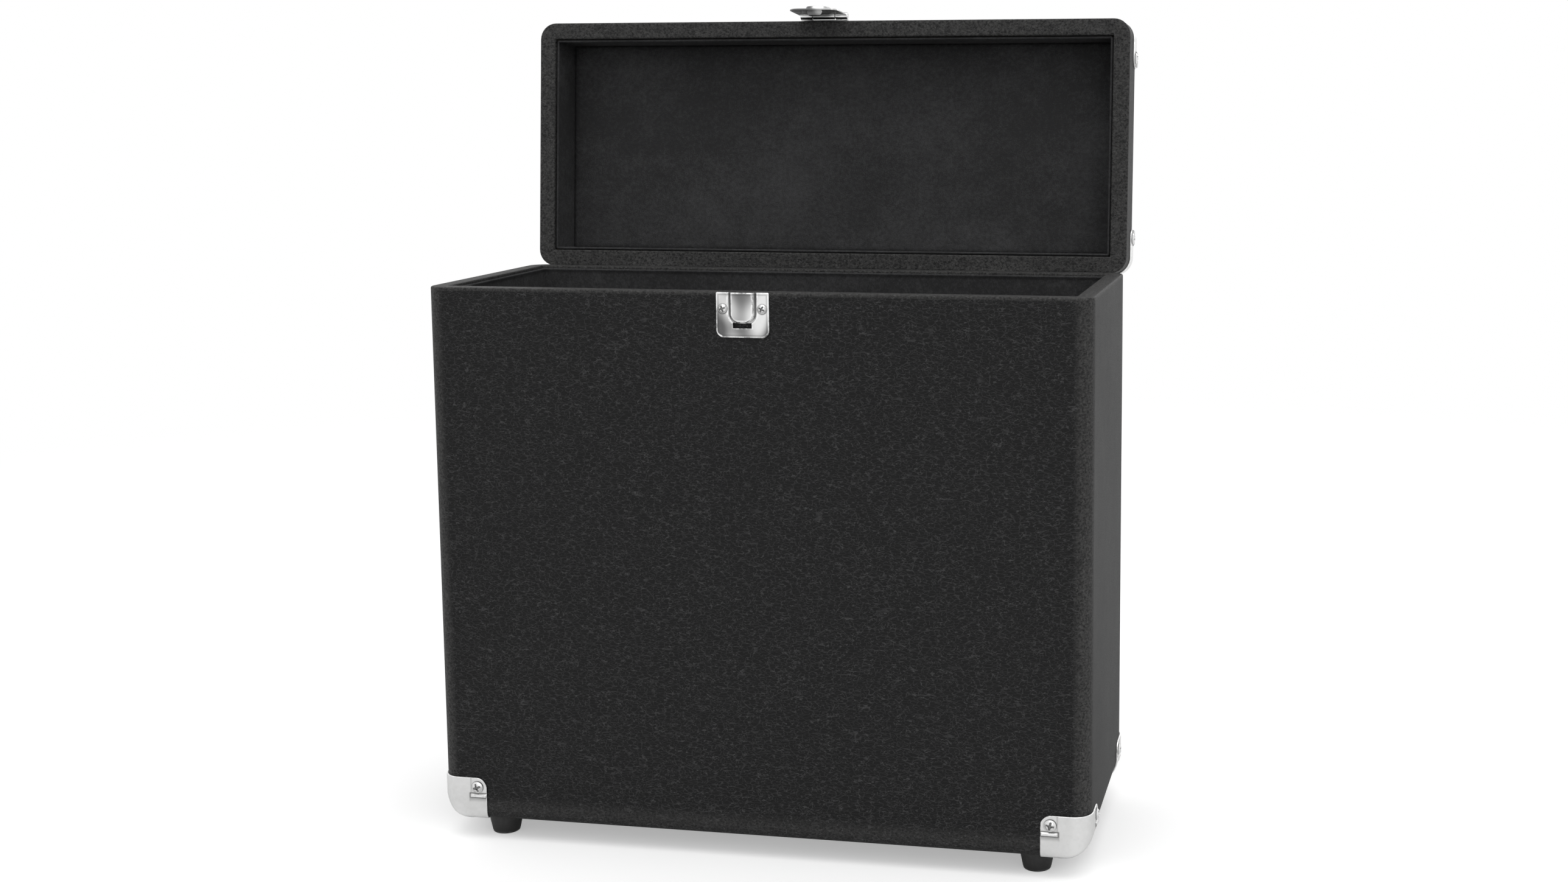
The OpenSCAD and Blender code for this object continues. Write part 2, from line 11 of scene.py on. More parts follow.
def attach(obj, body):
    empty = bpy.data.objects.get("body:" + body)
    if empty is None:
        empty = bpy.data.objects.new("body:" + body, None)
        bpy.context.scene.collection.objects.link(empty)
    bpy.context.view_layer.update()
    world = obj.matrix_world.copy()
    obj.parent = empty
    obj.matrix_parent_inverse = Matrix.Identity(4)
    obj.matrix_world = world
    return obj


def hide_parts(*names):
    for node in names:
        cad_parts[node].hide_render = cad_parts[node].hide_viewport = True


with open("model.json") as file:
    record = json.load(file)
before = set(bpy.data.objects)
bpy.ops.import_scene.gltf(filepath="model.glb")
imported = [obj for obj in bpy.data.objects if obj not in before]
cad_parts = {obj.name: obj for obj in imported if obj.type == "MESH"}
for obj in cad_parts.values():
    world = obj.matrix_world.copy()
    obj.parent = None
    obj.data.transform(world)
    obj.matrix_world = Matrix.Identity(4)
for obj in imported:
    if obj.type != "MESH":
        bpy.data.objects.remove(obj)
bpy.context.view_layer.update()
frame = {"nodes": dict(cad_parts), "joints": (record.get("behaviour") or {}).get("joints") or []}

bl_info = {
    "name": "Record Carrying Case",
    "version": (1, 0, 0),
    "blender": (4, 5, 0),
    "location": "View3D > Sidebar > Case",
    "description": "Builds the looks of a covered record case with metal fittings",
    "category": "Object",
}

MM = 0.001


# ---- Places and sizes read from the frame ----

def shift(x, y, z):
    """A move by a distance."""
    return Matrix.Translation((x, y, z))


def turn(angle, axis="X"):
    """A turn by an angle in degrees."""
    return Matrix.Rotation(radians(angle), 4, axis)


def corners(node, holder=Matrix.Identity(4)):
    """Lowest and highest corner of a CAD node in its holder's own frame, in millimetres."""
    back = holder.inverted()
    points = np.array([back @ v.co for v in frame["nodes"][node].data.vertices])
    return points.min(0) / MM, points.max(0) / MM


def middle(node, holder):
    """Middle and half size of a CAD node in its holder's own frame, in millimetres."""
    low, high = corners(node, holder)
    return (low + high) / 2, (high - low) / 2


JOINTS = {joint["name"]: joint for joint in frame["joints"]}
COVER = corners("body_cover")
LID_LINE = Vector(JOINTS["lid_hinge"]["pos_m"])
HASP_LINE = Vector(JOINTS["hasp_hinge"]["pos_m"])
HANDLE_LINE = Vector(JOINTS["handle_hinge"]["pos_m"])
OPEN = JOINTS["lid_hinge"]["range_deg"][1]
BODY = shift(0, COVER[0][1] * MM, COVER[0][2] * MM)
LID = shift(*LID_LINE) @ turn(-OPEN) @ shift(*-LID_LINE) @ BODY
HASP = shift(*HASP_LINE) @ turn(JOINTS["hasp_hinge"]["range_deg"][0] - OPEN)
HANDLE = shift(*HANDLE_LINE) @ turn(-90)
HOLDERS = {"body": BODY, "lid": LID, "hasp": HASP, "handle": HANDLE}

WIDTH, DEPTH, HEIGHT = COVER[1] - COVER[0]
LID_RIM, LID_TOP = (corner[2] for corner in corners("lid_cover", LID))
LID_HEIGHT = LID_TOP - LID_RIM
WALL = WIDTH / 2 - corners("body_wall_lining", BODY)[1][0]
LINING_TOP = HEIGHT - corners("body_wall_lining", BODY)[1][2]
PAD = LID_TOP - WALL - corners("lid_top_lining", LID)[0][2]
FLOOR_CLOTH = corners("body_floor_lining", BODY)[1][2] - WALL

OUT_FRONT = turn(90)
OUT_BACK = turn(-90)
OUT_SIDE = turn(90, "Y")
TURN_OVER = shift(0, 0, LID_TOP) @ Matrix.Diagonal((1, 1, -1, 1))


# ---- Sizes and colours that a user can change ----

def length(name, description, default):
    """A length, with its default in millimetres."""
    return FloatProperty(name=name, description=description, default=default * MM, min=0,
                         unit="LENGTH", precision=5)


def shade(name, description, *default):
    """A colour."""
    return FloatVectorProperty(name=name, description=description, default=(*default, 1),
                               subtype="COLOR", size=4, min=0, max=1)


def share(name, description, default, top=1):
    """A plain number from 0 to a top value."""
    return FloatProperty(name=name, description=description, default=default, min=0, max=top)


def aim(name, description, default):
    """An angle of the camera."""
    return FloatProperty(name=name, description=description, default=default, subtype="ANGLE",
                         precision=5)


class CaseSizes(bpy.types.PropertyGroup):
    """Sizes of the covered case and its fittings."""
    edge: length("Upright edges", "Radius of the case's upright edges", 10)
    side: length("Side edges", "Radius of the long edges at the two sides", 14)
    face: length("Face edges", "Radius of the long edges at the front and the back", 4)
    cover: length("Cover thickness", "Thickness of the sheet over the boards", 1)
    rim: length("Rim edges", "Radius of the rim's outer and inner edge", 1.1)
    bead: length("Lining bead", "Radius of the lining's rolled edge", 0.7)
    cap: length("Cap thickness", "Thickness of the corner caps", 1)
    cap_reach: length("Cap reach", "Reach of a cap along the walls", 27)
    cap_height: length("Cap height", "Height of a cap up the walls", 24)
    cap_flange: length("Cap flange", "Reach of a cap under the case", 17)
    cap_round: length("Cap corners", "Radius of a cap's free corners", 6)
    cap_screw: length("Cap screws", "Distance of a cap's screws from its edges", 5.5)
    head: length("Screw heads", "Radius of the larger screw heads", 3.3)
    small_head: length("Latch screw heads", "Radius of the smaller screw heads", 2.5)
    head_height: length("Screw head height", "Height of a screw's dome", 1.8)
    shank: length("Screw shanks", "Radius of a screw's shank", 1.4)
    plate: length("Latch plates", "Thickness of the latch's plates", 1)
    plate_round: length("Plate corners", "Radius of the plates' free corners", 4)
    tongue: length("Tongue height", "How far the catch's tongue stands out", 1.8)
    dome: length("Hasp dome", "How far the hasp's dome stands out", 2.4)
    foot_recess: length("Foot recess", "Radius of the recess in a foot", 4.5)
    leaf: length("Hinge leaves", "Thickness of the hinge leaves", 1.2)
    knuckle: length("Hinge knuckles", "Radius of the hinge knuckles", 2.8)


class CaseFinish(bpy.types.PropertyGroup):
    """Colours and surface of the case's materials."""
    sheet: shade("Cover", "Colour of the leather-like cover", 0.0095, 0.0095, 0.0097)
    # Painted highlight: the pale crease colour stands in for light catching the edges of the
    # grain's cells.
    crease_and_highlight: shade("Creases", "Colour in the creases of the cover", 0.075, 0.075, 0.076)
    # Paler cover on rubbed edges, which along the rim and the upright edges is also a painted
    # highlight.
    scuff_and_highlight: shade("Scuffs", "Colour of the cover where it is rubbed", 0.088, 0.087, 0.085)
    grain_length: length("Grain length", "Length of a cell of the cover's grain", 4.0)
    grain_height: length("Grain height", "Height of a cell of the cover's grain", 1.6)
    grain_depth: length("Grain depth", "Depth of the cover's creases", 0.22)
    cloth: shade("Lining", "Colour of the lining cloth", 0.041, 0.041, 0.042)
    nap: shade("Brushed nap", "Colour of the lining where its nap lies over", 0.08, 0.08, 0.082)
    metal: shade("Nickel", "Colour of the satin nickel", 0.80, 0.80, 0.795)
    tarnish: shade("Dull nickel", "Colour of dull patches on the nickel", 0.64, 0.64, 0.63)
    # Painted reflection: dim patches stand in for a dark room mirrored in the latch.
    painted_dark_reflection: shade("Dim chrome", "Colour of dim patches on the latch", 0.13, 0.13, 0.13)
    # Painted shade: a dark colour laid into the metal's grooves, gaps and recesses, where shade
    # falls.
    painted_groove_shade: shade("Grooves", "Colour in the grooves of the metal", 0.02, 0.02, 0.02)
    # Rubbed nickel colour, which on the caps' edges and ribs is also a painted highlight.
    polish_and_highlight: shade("Rubbed nickel", "Colour of the nickel's rubbed edges", 0.96, 0.96, 0.96)
    # Painted highlight on the latch's edges, the tongue's edge, the slot's frame and the collar.
    painted_highlight: shade("Rubbed chrome", "Colour of the latch's rubbed edges", 0.98, 0.98, 0.98)
    steel: shade("Screws", "Colour of the screws and pins", 0.78, 0.78, 0.78)
    rubber: shade("Feet", "Colour of the rubber feet", 0.017, 0.017, 0.017)
    dust: shade("Dust", "Colour of the dust on the feet", 0.032, 0.031, 0.03)
    # Pale lower edge of the feet: scrapes and a painted highlight.
    scrape_and_highlight: shade("Scraped feet", "Colour of the feet's scraped edges", 0.12, 0.12, 0.12)
    grip: shade("Grip", "Colour of the moulded grip", 0.016, 0.016, 0.0165)
    board: shade("Boards", "Colour of the boards under the cover", 0.42, 0.29, 0.15)


class CaseStage(bpy.types.PropertyGroup):
    """Camera and light."""
    place: FloatVectorProperty(name="Camera place", description="Where the camera stands",
                               default=(0.3090109, -1.1152462, 0.4195262),
                               subtype="TRANSLATION", precision=6)
    yaw: aim("Turn", "Turn of the camera to the left", 0.1868)
    pitch: aim("Tilt", "Tilt of the camera down", 0.1282)
    roll: aim("Roll", "Roll of the camera", -0.0019)
    lens: FloatProperty(name="Lens", description="Focal length in millimetres", default=44.997)
    shift: FloatVectorProperty(name="Shift", description="Shift of the picture on the film",
                               size=2, default=(-0.11646, -0.05823), precision=5)
    world: share("Room light", "Strength of the room's own light", 0.60, 2)
    top_light: share("Top light", "Power of the softbox over the case", 24, 100)
    front_light: share("Front light", "Power of the softbox before the case", 6, 100)
    back_light: share("Back light", "Power of the softbox behind the case", 5, 100)
    floor: shade("Floor", "Colour of the floor", 0.90, 0.90, 0.90)
    floor_lift: share("Floor lift", "How much paler the floor shows to the camera", 0.38)


def size(name):
    """A size from the panel, in millimetres."""
    return getattr(bpy.context.scene.case_sizes, name) / MM


def finish(name):
    """A colour or a length of the surface from the panel."""
    return getattr(bpy.context.scene.case_finish, name)


def placed(name, data):
    """A new object in the scene."""
    thing = bpy.data.objects.new(name, data)
    bpy.context.scene.collection.objects.link(thing)
    return thing


# ---- Meshes from rows of points ----

# Distances of the grid lines next to an edge, a gap that keeps two faces apart, and the radius
# of a pressed sheet's edge.
FINE = (0.0, 0.06, 0.18, 0.36, 0.6)
HAIR = 0.02
PRESSED = 0.35


def skin(rows, loop=False):
    """Faces through closed rows of points. The first and last row are filled, or joined to
    each other with loop. A point's fourth number is its share of painted shade."""
    rows = np.asarray(rows, float)
    count, across = rows.shape[:2]
    faces = []
    for i in range(count if loop else count - 1):
        low, high = i * across, (i + 1) % count * across
        for k in range(across):
            n = (k + 1) % across
            faces.append((low + k, low + n, high + n, high + k))
    if not loop:
        faces.append(tuple(range(across))[::-1])
        faces.append(tuple(range((count - 1) * across, count * across)))
    return rows.reshape(-1, rows.shape[2]), faces


def sheet(outer, inner, keep=None):
    """A closed plate between two grids of points. keep says which of the cells are there."""
    rows, across, numbers = outer.shape
    n = rows * across
    if keep is None:
        keep = np.ones((rows - 1, across - 1), bool)
    faces = []
    for i, k in zip(*np.nonzero(keep)):
        a = i * across + k
        b, c, d = a + 1, a + across + 1, a + across
        faces += [(a, b, c, d), (d + n, c + n, b + n, a + n)]
        for di, dk, p, q in ((-1, 0, a, b), (0, 1, b, c), (1, 0, c, d), (0, -1, d, a)):
            y, x = i + di, k + dk
            if not (0 <= y < rows - 1 and 0 <= x < across - 1 and keep[y, x]):
                faces.append((q, p, p + n, q + n))
    return np.concatenate([outer.reshape(-1, numbers), inner.reshape(-1, numbers)]), faces


def turned(profile, steps, loop=False):
    """A profile of (radius, height) turned about Z."""
    angles = np.arange(steps) * 2 * pi / steps
    return skin([[(r * cos(a), r * sin(a), z) for a in angles] for r, z in profile], loop)


def moved(part, matrix):
    """A part with its points moved by a matrix in millimetres."""
    points = np.array(part[0], float)
    m = np.array(matrix)
    points[:, :3] = points[:, :3] @ m[:3, :3].T + m[:3, 3]
    return points, part[1]


def joined(parts):
    """Several parts as one."""
    points, faces, count = [], [], 0
    for v, f in parts:
        points.append(np.pad(v, ((0, 0), (0, 4 - np.shape(v)[1]))))
        faces += [tuple(count + i for i in face) for face in f]
        count += len(v)
    return np.concatenate(points), faces


def piece(name, part, holder, made, replaced, edges=None, angle=38):
    """A mesh object from a part drawn in its holder's frame, in the material that made names.
    edges gives each point's share of rubbed edge and painted highlight."""
    points, faces = part
    mesh = bpy.data.meshes.new(name)
    mesh.from_pydata((points[:, :3] * MM).tolist(), [], faces)
    # The fourth number is each point's share of painted shade in grooves, gaps and recesses.
    grooves = points[:, 3] if points.shape[1] > 3 else None
    for mark, values in (("edge", edges), ("painted_shade", grooves)):
        wear_and_highlight = mesh.attributes.new(mark, "FLOAT", "POINT")
        wear_and_highlight.data.foreach_set("value", np.zeros(len(points)) if values is None else values)
    bm = bmesh.new()
    bm.from_mesh(mesh)
    bmesh.ops.delete(bm, geom=[v for v in bm.verts if not v.link_faces], context="VERTS")
    bmesh.ops.remove_doubles(bm, verts=bm.verts, dist=1e-6)
    bmesh.ops.recalc_face_normals(bm, faces=bm.faces)
    bm.to_mesh(mesh)
    bm.free()
    mesh.shade_smooth()
    mesh.set_sharp_from_angle(angle=radians(angle))
    mesh.materials.append(material(made))
    thing = placed(name, mesh)
    thing.matrix_world = HOLDERS[holder]
    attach(thing, holder)
    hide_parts(replaced)


def smooth(x):
    """An easy step from 0 to 1."""
    x = min(max(x, 0.0), 1.0)
    return x * x * (3 - 2 * x)


def ridge(distance, top, width):
    """A soft ridge of height 1, with its top at a distance."""
    return exp(-((distance - top) / width) ** 2)


def dome_edge(distance, radius):
    """How far a rounded edge has fallen at a distance from it."""
    if distance >= radius:
        return 0.0
    return radius - sqrt(max(radius ** 2 - (radius - distance) ** 2, 0.0))


def ticks(low, high, step, fine=FINE):
    """Grid lines from low to high, closer together near both ends."""
    inner = max(int((high - low - 2 * fine[-1]) / step), 1)
    between = np.linspace(low + fine[-1], high - fine[-1], inner + 1)
    return np.array([low + f for f in fine[:-1]] + list(between)
                    + [high - f for f in fine[-2::-1]])


# ---- The covered tubs ----

# Shares of a straight side at which a ring has points, and the points of each round corner.
STRAIGHT = (0.004, 0.03, 0.12, 0.3, 0.5, 0.7, 0.88, 0.97, 0.996)
CORNER = 9
# The least corner radii: of any ring, above the bottom edges and near them. The upright edges
# get tighter with the fall of the side's bottom edge.
LEAST_ROUND, LEAST_TOP, LEAST_BOTTOM, BOTTOM = 0.2, 0.3, 2.0, 20
TIGHTER = 0.6
# How rubbed the cover is at its rim, along its upright edges and at its bottom edges. At the rim
# and along the upright edges this share also paints a highlight.
RIM_WEAR_AND_HIGHLIGHT, UPRIGHT_WEAR_AND_HIGHLIGHT, BOTTOM_WEAR = 0.8, 0.95, 0.55


def plan(half_w, half_d, radius, z):
    """A ring of points at a height: a rectangle with round corners over the case's plan."""
    radius = max(radius, LEAST_ROUND)
    arcs = []
    for k, (sx, sy) in enumerate(((1, -1), (1, 1), (-1, 1), (-1, -1))):
        turns = [radians(90 * (k - 1) + 90 * j / (CORNER - 1)) for j in range(CORNER)]
        arcs.append([(sx * (half_w - radius) + radius * cos(t),
                      DEPTH / 2 + sy * (half_d - radius) + radius * sin(t), z) for t in turns])
    ring = []
    for k, arc in enumerate(arcs):
        ring += arc
        a, b = np.array(arc[-1]), np.array(arcs[(k + 1) % 4][0])
        ring += [tuple(a + (b - a) * t) for t in STRAIGHT]
    return ring


def tub_ring(z, grow=0.0):
    """Half width, half depth and corner radius of the tub's outline at a height, with the tub
    grown by a distance on every face."""
    side, face = (dome_edge(z + grow, size(name) + grow) for name in ("side", "face"))
    least = LEAST_BOTTOM if z + grow < BOTTOM else LEAST_TOP
    return (WIDTH / 2 + grow - side, DEPTH / 2 + grow - face,
            max(size("edge") + grow - TIGHTER * side, least))


def rounding_heights(grow):
    """Heights of the rings over the bottom edges."""
    return sorted({round(radius * (1 - cos(radians(t))) - grow, 3)
                   for radius in (size("side") + grow, size("face") + grow)
                   for t in range(0, 91, 9)})


def rolled(radius, a0, a1, centre, steps=5):
    """An arc for a profile of (inset, height)."""
    turns = [radians(a0 + (a1 - a0) * j / steps) for j in range(steps + 1)]
    return [(centre[0] + radius * cos(t), centre[1] + radius * sin(t)) for t in turns]


def tub_cover(height):
    """The cover of a tub: its outside, its rim and the narrow turn-in behind the lining, with
    each point's share of rubbed edge, which on the rim and the upright edges is also a painted
    highlight."""
    r, thick, start = size("rim"), size("cover"), size("side")
    top, inner_r = height - 2 * r, r * 0.8
    crown, turn_in, gap = 0.06, 4, 0.05
    rows, wear_and_highlight = [], []

    def ring(outline, z, rubbed=0.0):
        rows.append(plan(*outline, z))
        wear_and_highlight.append(rubbed)

    for z in rounding_heights(0):
        ring(tub_ring(z), z, BOTTOM_WEAR * (1 - abs(2 * z / start - 1)) if z < start else 0)
    steps = 14 if height > LID_HEIGHT else 4
    for j in range(1, steps + 1):
        z = start + (top - start) * j / steps
        ring(tub_ring(z), z)
    rim = [(0, height - 1.2 * r), *rolled(r, 180, 90, (r, height - r)), (r * 1.3, height),
           (WALL / 2, height + crown), (WALL - 1.3 * r, height),
           *rolled(inner_r, 90, 0, (WALL - inner_r, height - inner_r)),
           (WALL + gap, height - turn_in), (WALL - gap, height - turn_in),
           (WALL - gap, height - thick), (thick, height - thick)]
    outline = np.array(tub_ring(height))
    for inset, z in rim:
        ring(outline - inset, z, RIM_WEAR_AND_HIGHLIGHT)
    for z in reversed(rounding_heights(-thick)):
        ring(tub_ring(z, -thick), z)
    corner = np.zeros((4, CORNER + len(STRAIGHT)))
    # Along the upright edges the rubbed-edge share also paints a highlight.
    corner[:, :CORNER] = UPRIGHT_WEAR_AND_HIGHLIGHT * np.sin(np.linspace(0, pi, CORNER)) ** 0.7
    edges = np.maximum(np.repeat(wear_and_highlight, corner.size), np.tile(corner.reshape(-1), len(rows)))
    return skin(rows), edges


def wall_cloth(height):
    """The lining on the walls of a tub, with a rolled edge at its top and slightly wavy cloth."""
    top, bead = height - LINING_TOP, size("bead")
    under, corner, wave, wave_length = top - 4.5 * bead, 1.8, 0.25, 55
    profile = [(0.12, WALL), (0.12, top - 4 * bead), (0.4, top - 2.2 * bead),
               *rolled(bead, 200, -20, (0.45 + bead, top - bead), 8),
               (1.05, top - 2.6 * bead), (0.95, under)]
    profile += [(1.0, under - (under - WALL) * t) for t in (0.25, 0.5, 0.75, 1)]
    rows = np.array([plan(WIDTH / 2 - WALL - inset, DEPTH / 2 - WALL - inset, corner - inset, z)
                     for inset, z in profile])
    for point in rows[-4:-1].reshape(-1, 3):
        push = wave * abs(noise.noise(Vector(point) / wave_length))
        point[:2] -= np.sign(point[:2] - (0, DEPTH / 2)) * push
    return skin(rows, loop=True)


def cloth_pad(thick, soft, swell):
    """A cloth-covered panel over the floor of a tub, with soft edges and a slight swell."""
    half_w, half_d = WIDTH / 2 - WALL - 1, DEPTH / 2 - WALL - 1
    swell_edge, swell_length, seed = 30, 60, 7
    xs, ys = (ticks(-half, half, 6, (0.0, 0.25, 0.8, 1.7, 3.0, 5.0)) for half in (half_w, half_d))
    top = np.zeros((len(ys), len(xs), 3))
    under = np.zeros_like(top)
    for i, y in enumerate(ys):
        for k, x in enumerate(xs):
            d = min(half_w - abs(x), half_d - abs(y))
            lift = thick - dome_edge(d, min(soft, thick * 0.98))
            wave = 0.5 + noise.noise(Vector((x, y, seed)) / swell_length)
            lift += swell * smooth(d / swell_edge) * wave
            top[i, k] = (x, DEPTH / 2 + y, WALL + lift)
            under[i, k] = (x, DEPTH / 2 + y, WALL + HAIR)
    return sheet(top, under)


# ---- Corner caps ----

def corner_cap(side, face):
    """A pressed cap over the bottom corner of a tub, with a tab, a rib and soft edges, and
    each point's share of rubbed edge and painted highlight; its points also carry painted shade."""
    t, reach, high = size("cap"), size("cap_reach"), size("cap_height")
    flange, rnd, inset = size("cap_flange"), size("cap_round"), size("cap_screw")
    free, start = reach - flange, reach - size("edge")
    arc = (size("edge") + t) * pi / 2
    total = 2 * start + arc
    us = [*ticks(0, free, 0.5)[:-4], *np.linspace(free, start, 9)]
    us += list(np.linspace(start, start + arc, 19)[1:])
    us += [total - u for u in us if u < start - 1e-6][::-1]
    us = sorted(set(round(u, 4) for u in us))
    bend, tab_width, tab_depth, edge_band = 12.0, 9.6, 0.25, 0.9
    rib_drop, rib_middle, rib_half, rib_flat = high - 13.6, 4.9, 3.9, 0.2
    rib_round, rib_height = 0.8, 0.9
    drops = [*FINE, *np.linspace(FINE[-1], high - bend, 31)[1:]]
    levels = np.linspace(0, pi / 2, 9)[1:]
    tail = (0.25, 0.6, 0.85, 1.0)
    below, last = len(drops), len(drops) + len(levels)
    outer, inner, wear_and_highlight = ([[] for _ in range(last + len(tail))] for _ in range(3))

    def wall_point(u, grow, z):
        """Point and outward direction on the grown tub, at a length u from the front lobe."""
        w, d, r = tub_ring(z, grow)
        if u <= start:
            x = min(WIDTH / 2 - reach + u, w - r) if u < start else w - r
            return np.array((x, DEPTH / 2 - d, z)), np.array((0, -1, 0))
        if u >= start + arc:
            y = max(reach - (total - u), DEPTH / 2 - d + r)
            return np.array((w, y, z)), np.array((1, 0, 0))
        a = -pi / 2 + (u - start) / arc * pi / 2
        out = np.array((cos(a), sin(a), 0))
        return np.array((w - r, DEPTH / 2 - d + r, z)) + r * out, out

    def swell(along, drop):
        """How far tab and rib stand out on a lobe, with the share of painted shade around tab, rib
        and screw head and the share of painted highlight on the rib's top.
        """
        tab = min(tab_width - along, rib_drop - drop)
        rib = max(abs(along - rib_middle) - rib_half, abs(drop - rib_drop) - rib_flat)
        ring = sqrt((along - inset) ** 2 + (drop - inset) ** 2) - size("head")
        rise = -tab_depth * smooth(tab / 0.5)
        if rib < rib_round:
            rise += rib_height * sqrt(max(1 - (max(rib, 0) / rib_round) ** 2, 0))
        # Painted shade: dark lines around the tab, the rib and the screw head. The third value
        # returned is a painted highlight on the rib's top.
        painted_shade = max(0.4 * ridge(tab, 0.35, 0.3), 0.9 * ridge(rib, 1.1, 0.38),
                     0.5 * ridge(ring, 0.15, 0.3))
        return rise, painted_shade, smooth((0.7 - rib) / 0.3)

    def lay(row, p, q, painted_shade, rubbed):
        """Adds a point to a row of each grid."""
        outer[row].append((*p, painted_shade))
        # The inner grid gets full painted shade, so the cap's walls show a dark gap line against
        # the cover.
        inner[row].append((*q, 1))
        wear_and_highlight[row].append(rubbed)

    for u in us:
        along = min(u, total - u)
        top = high - dome_edge(along, rnd)
        for i, drop in enumerate(drops):
            z = top - drop * (top - bend) / (high - bend)
            (p, n), (q, _) = wall_point(u, t, z), wall_point(u, 0, z)
            edge = min(along, drop)
            rise, painted_shade, painted_highlight = swell(along, high - z) if edge > 0.3 else (0, 0, 0)
            # The rubbed-edge share paints a highlight along the cap's edges and on the rib's top,
            # besides rubbing.
            lay(i, p + n * (rise - dome_edge(edge, PRESSED)), q + n * HAIR, painted_shade,
                max(1 - smooth(edge / edge_band), painted_highlight))
        low = -t if along >= free - 1e-6 else 0.0
        for i, a in enumerate(levels):
            z = bend + (low - bend) * sin(a)
            (p, n), (q, _) = wall_point(u, t, z), wall_point(u, 0, max(z, 0))
            lay(below + i, p - n * dome_edge(along, PRESSED), q + n * HAIR, 0,
                0.5 * (1 - smooth(along / edge_band)))
        p, q = wall_point(u, t, -t)[0], wall_point(u, 0, 0)[0]
        a = pi - (u - free) / max(total - 2 * free, 1e-6) * pi / 2
        end = np.array((WIDTH / 2 - flange + rnd, flange - rnd, -t))
        end = end + rnd * np.array((cos(a), sin(a), 0))
        for i, s in enumerate(tail):
            lay(last + i, p * (1 - s) + end * s, (*(q * (1 - s) + end * s)[:2], -HAIR), 0, 0.3)
    outer, inner, edges = np.array(outer), np.array(inner), np.array(wear_and_highlight).reshape(-1)
    between = (np.array(us[1:]) + us[:-1]) / 2
    keep = np.ones((len(outer) - 1, len(between)), bool)
    keep[last - 1:, np.minimum(between, total - between) < free] = False
    for grid in (outer, inner):
        grid[..., 0] *= side
        if face > 0:
            grid[..., 1] = DEPTH - grid[..., 1]
    return sheet(outer, inner, keep), np.concatenate([edges, edges * 0])


# ---- Screws ----

# How deep a screw goes into its board, and how far the crosses of a row of screws are turned.
SCREW_DEPTH = 7.0
SPINS = (0.35, 1.1, 0.75, 0.1, 1.35, 0.55)


def screw_part(radius, thick, spin):
    """A domed cross-head screw along -Z with its head's underside at the origin. Its cross is
    turned by spin."""
    high, shank, tip = size("head_height"), size("shank"), -SCREW_DEPTH - thick
    ball = (radius ** 2 + high ** 2) / (2 * high)
    arm_length, slot_edge, painted_shade = radius * 0.72, radius * 0.05, 0.75
    angles = [2 * pi * k / 48 for k in range(48)]
    c, s = cos(spin), sin(spin)
    rows = []
    for r in (0.02, *np.linspace(0.12, radius * 0.94, 17), radius * 0.985, radius):
        row = []
        for a in angles:
            x, y = r * cos(a), r * sin(a)
            arm = max(abs(x), abs(y)) / arm_length
            slot = radius * (0.19 - 0.06 * arm) - min(abs(x), abs(y))
            cut = smooth(slot / slot_edge + 0.5) * smooth((1 - arm) / 0.12)
            z = sqrt(ball ** 2 - r ** 2) - ball + high
            z -= cut * high * (0.72 - 0.35 * arm)
            if r >= radius * 0.98:
                z = max(z, 0.25)
            # Painted shade in the cross recess.
            row.append((x * c - y * s, x * s + y * c, z, cut * painted_shade))
        rows.append(row)
    # Painted shade on the head's underside and on the shank.
    for r, z in ((radius, 0.08), (radius * 0.97, 0.0), (shank, 0.0), (shank, tip + 1),
                 (shank * 0.35, tip)):
        rows.append([(r * cos(a), r * sin(a), z, 1) for a in angles])
    return skin(rows)


def set_screws(name, places, radius, thick, holder, replaced):
    """Screws of one kind as one object. Each place is a matrix whose Z points out of the plate."""
    parts = [moved(screw_part(radius, thick, SPINS[k % len(SPINS)]), place)
             for k, place in enumerate(places)]
    piece(name, joined(parts), holder, "bright_steel", replaced, angle=50)


def plate_screws(name, holder, replaced):
    """The two screws of a latch plate."""
    low, high = corners(replaced, HOLDERS[holder])
    r, t = size("small_head"), size("plate")
    places = [shift(x, -t, (low[2] + high[2]) / 2) @ OUT_FRONT for x in (low[0] + r, high[0] - r)]
    set_screws(name, places, r, t, holder, replaced)


def cap_screw_places():
    """The screws of the four caps of a tub."""
    t, down = size("cap"), size("cap_height") - size("cap_screw")
    along = size("cap_reach") - size("cap_screw")
    places = []
    for side in (-1, 1):
        for face in (-1, 1):
            y, near = (-t, along) if face < 0 else (DEPTH + t, DEPTH - along)
            places.append(shift(side * (WIDTH / 2 - along), y, down) @ turn(-90 * face))
            places.append(shift(side * (WIDTH / 2 + t), near, down) @ turn(90 * side, "Y"))
    return places


# ---- Stamped plates. A form is a plate's half width, height, and low and high corner radius ----

def edge_distance(x, z, form):
    """Distance from a point of a plate to its outline."""
    half, height, low_r, high_r = form
    best = min(half - abs(x), z, height - z)
    for r, up in ((low_r, z), (high_r, height - z)):
        dx, dz = abs(x) - (half - r), r - up
        if dx > 0 and dz > 0:
            best = min(best, r - sqrt(dx * dx + dz * dz))
    return max(best, 0.0)


def plate_grids(xs, zs, form, lift, low):
    """Outer and inner grid of a stamped plate that faces -Y and starts at a low height. lift
    gives how far each point stands out and its share of painted shade."""
    half, height, low_r, high_r = form
    outer = np.zeros((len(zs), len(xs), 4))
    # The inner grid gets full painted shade, so a plate's walls show a dark gap line against what
    # lies behind it.
    inner = np.ones_like(outer)
    for i, z in enumerate(zs):
        narrow = half - max(dome_edge(z, low_r), dome_edge(height - z, high_r))
        for k, x in enumerate(xs):
            wide = x * narrow / half
            high, painted_shade = lift(wide, z)
            outer[i, k] = (wide, -high, z + low, painted_shade)
            inner[i, k, :3] = (wide, 0, z + low)
    return outer, inner


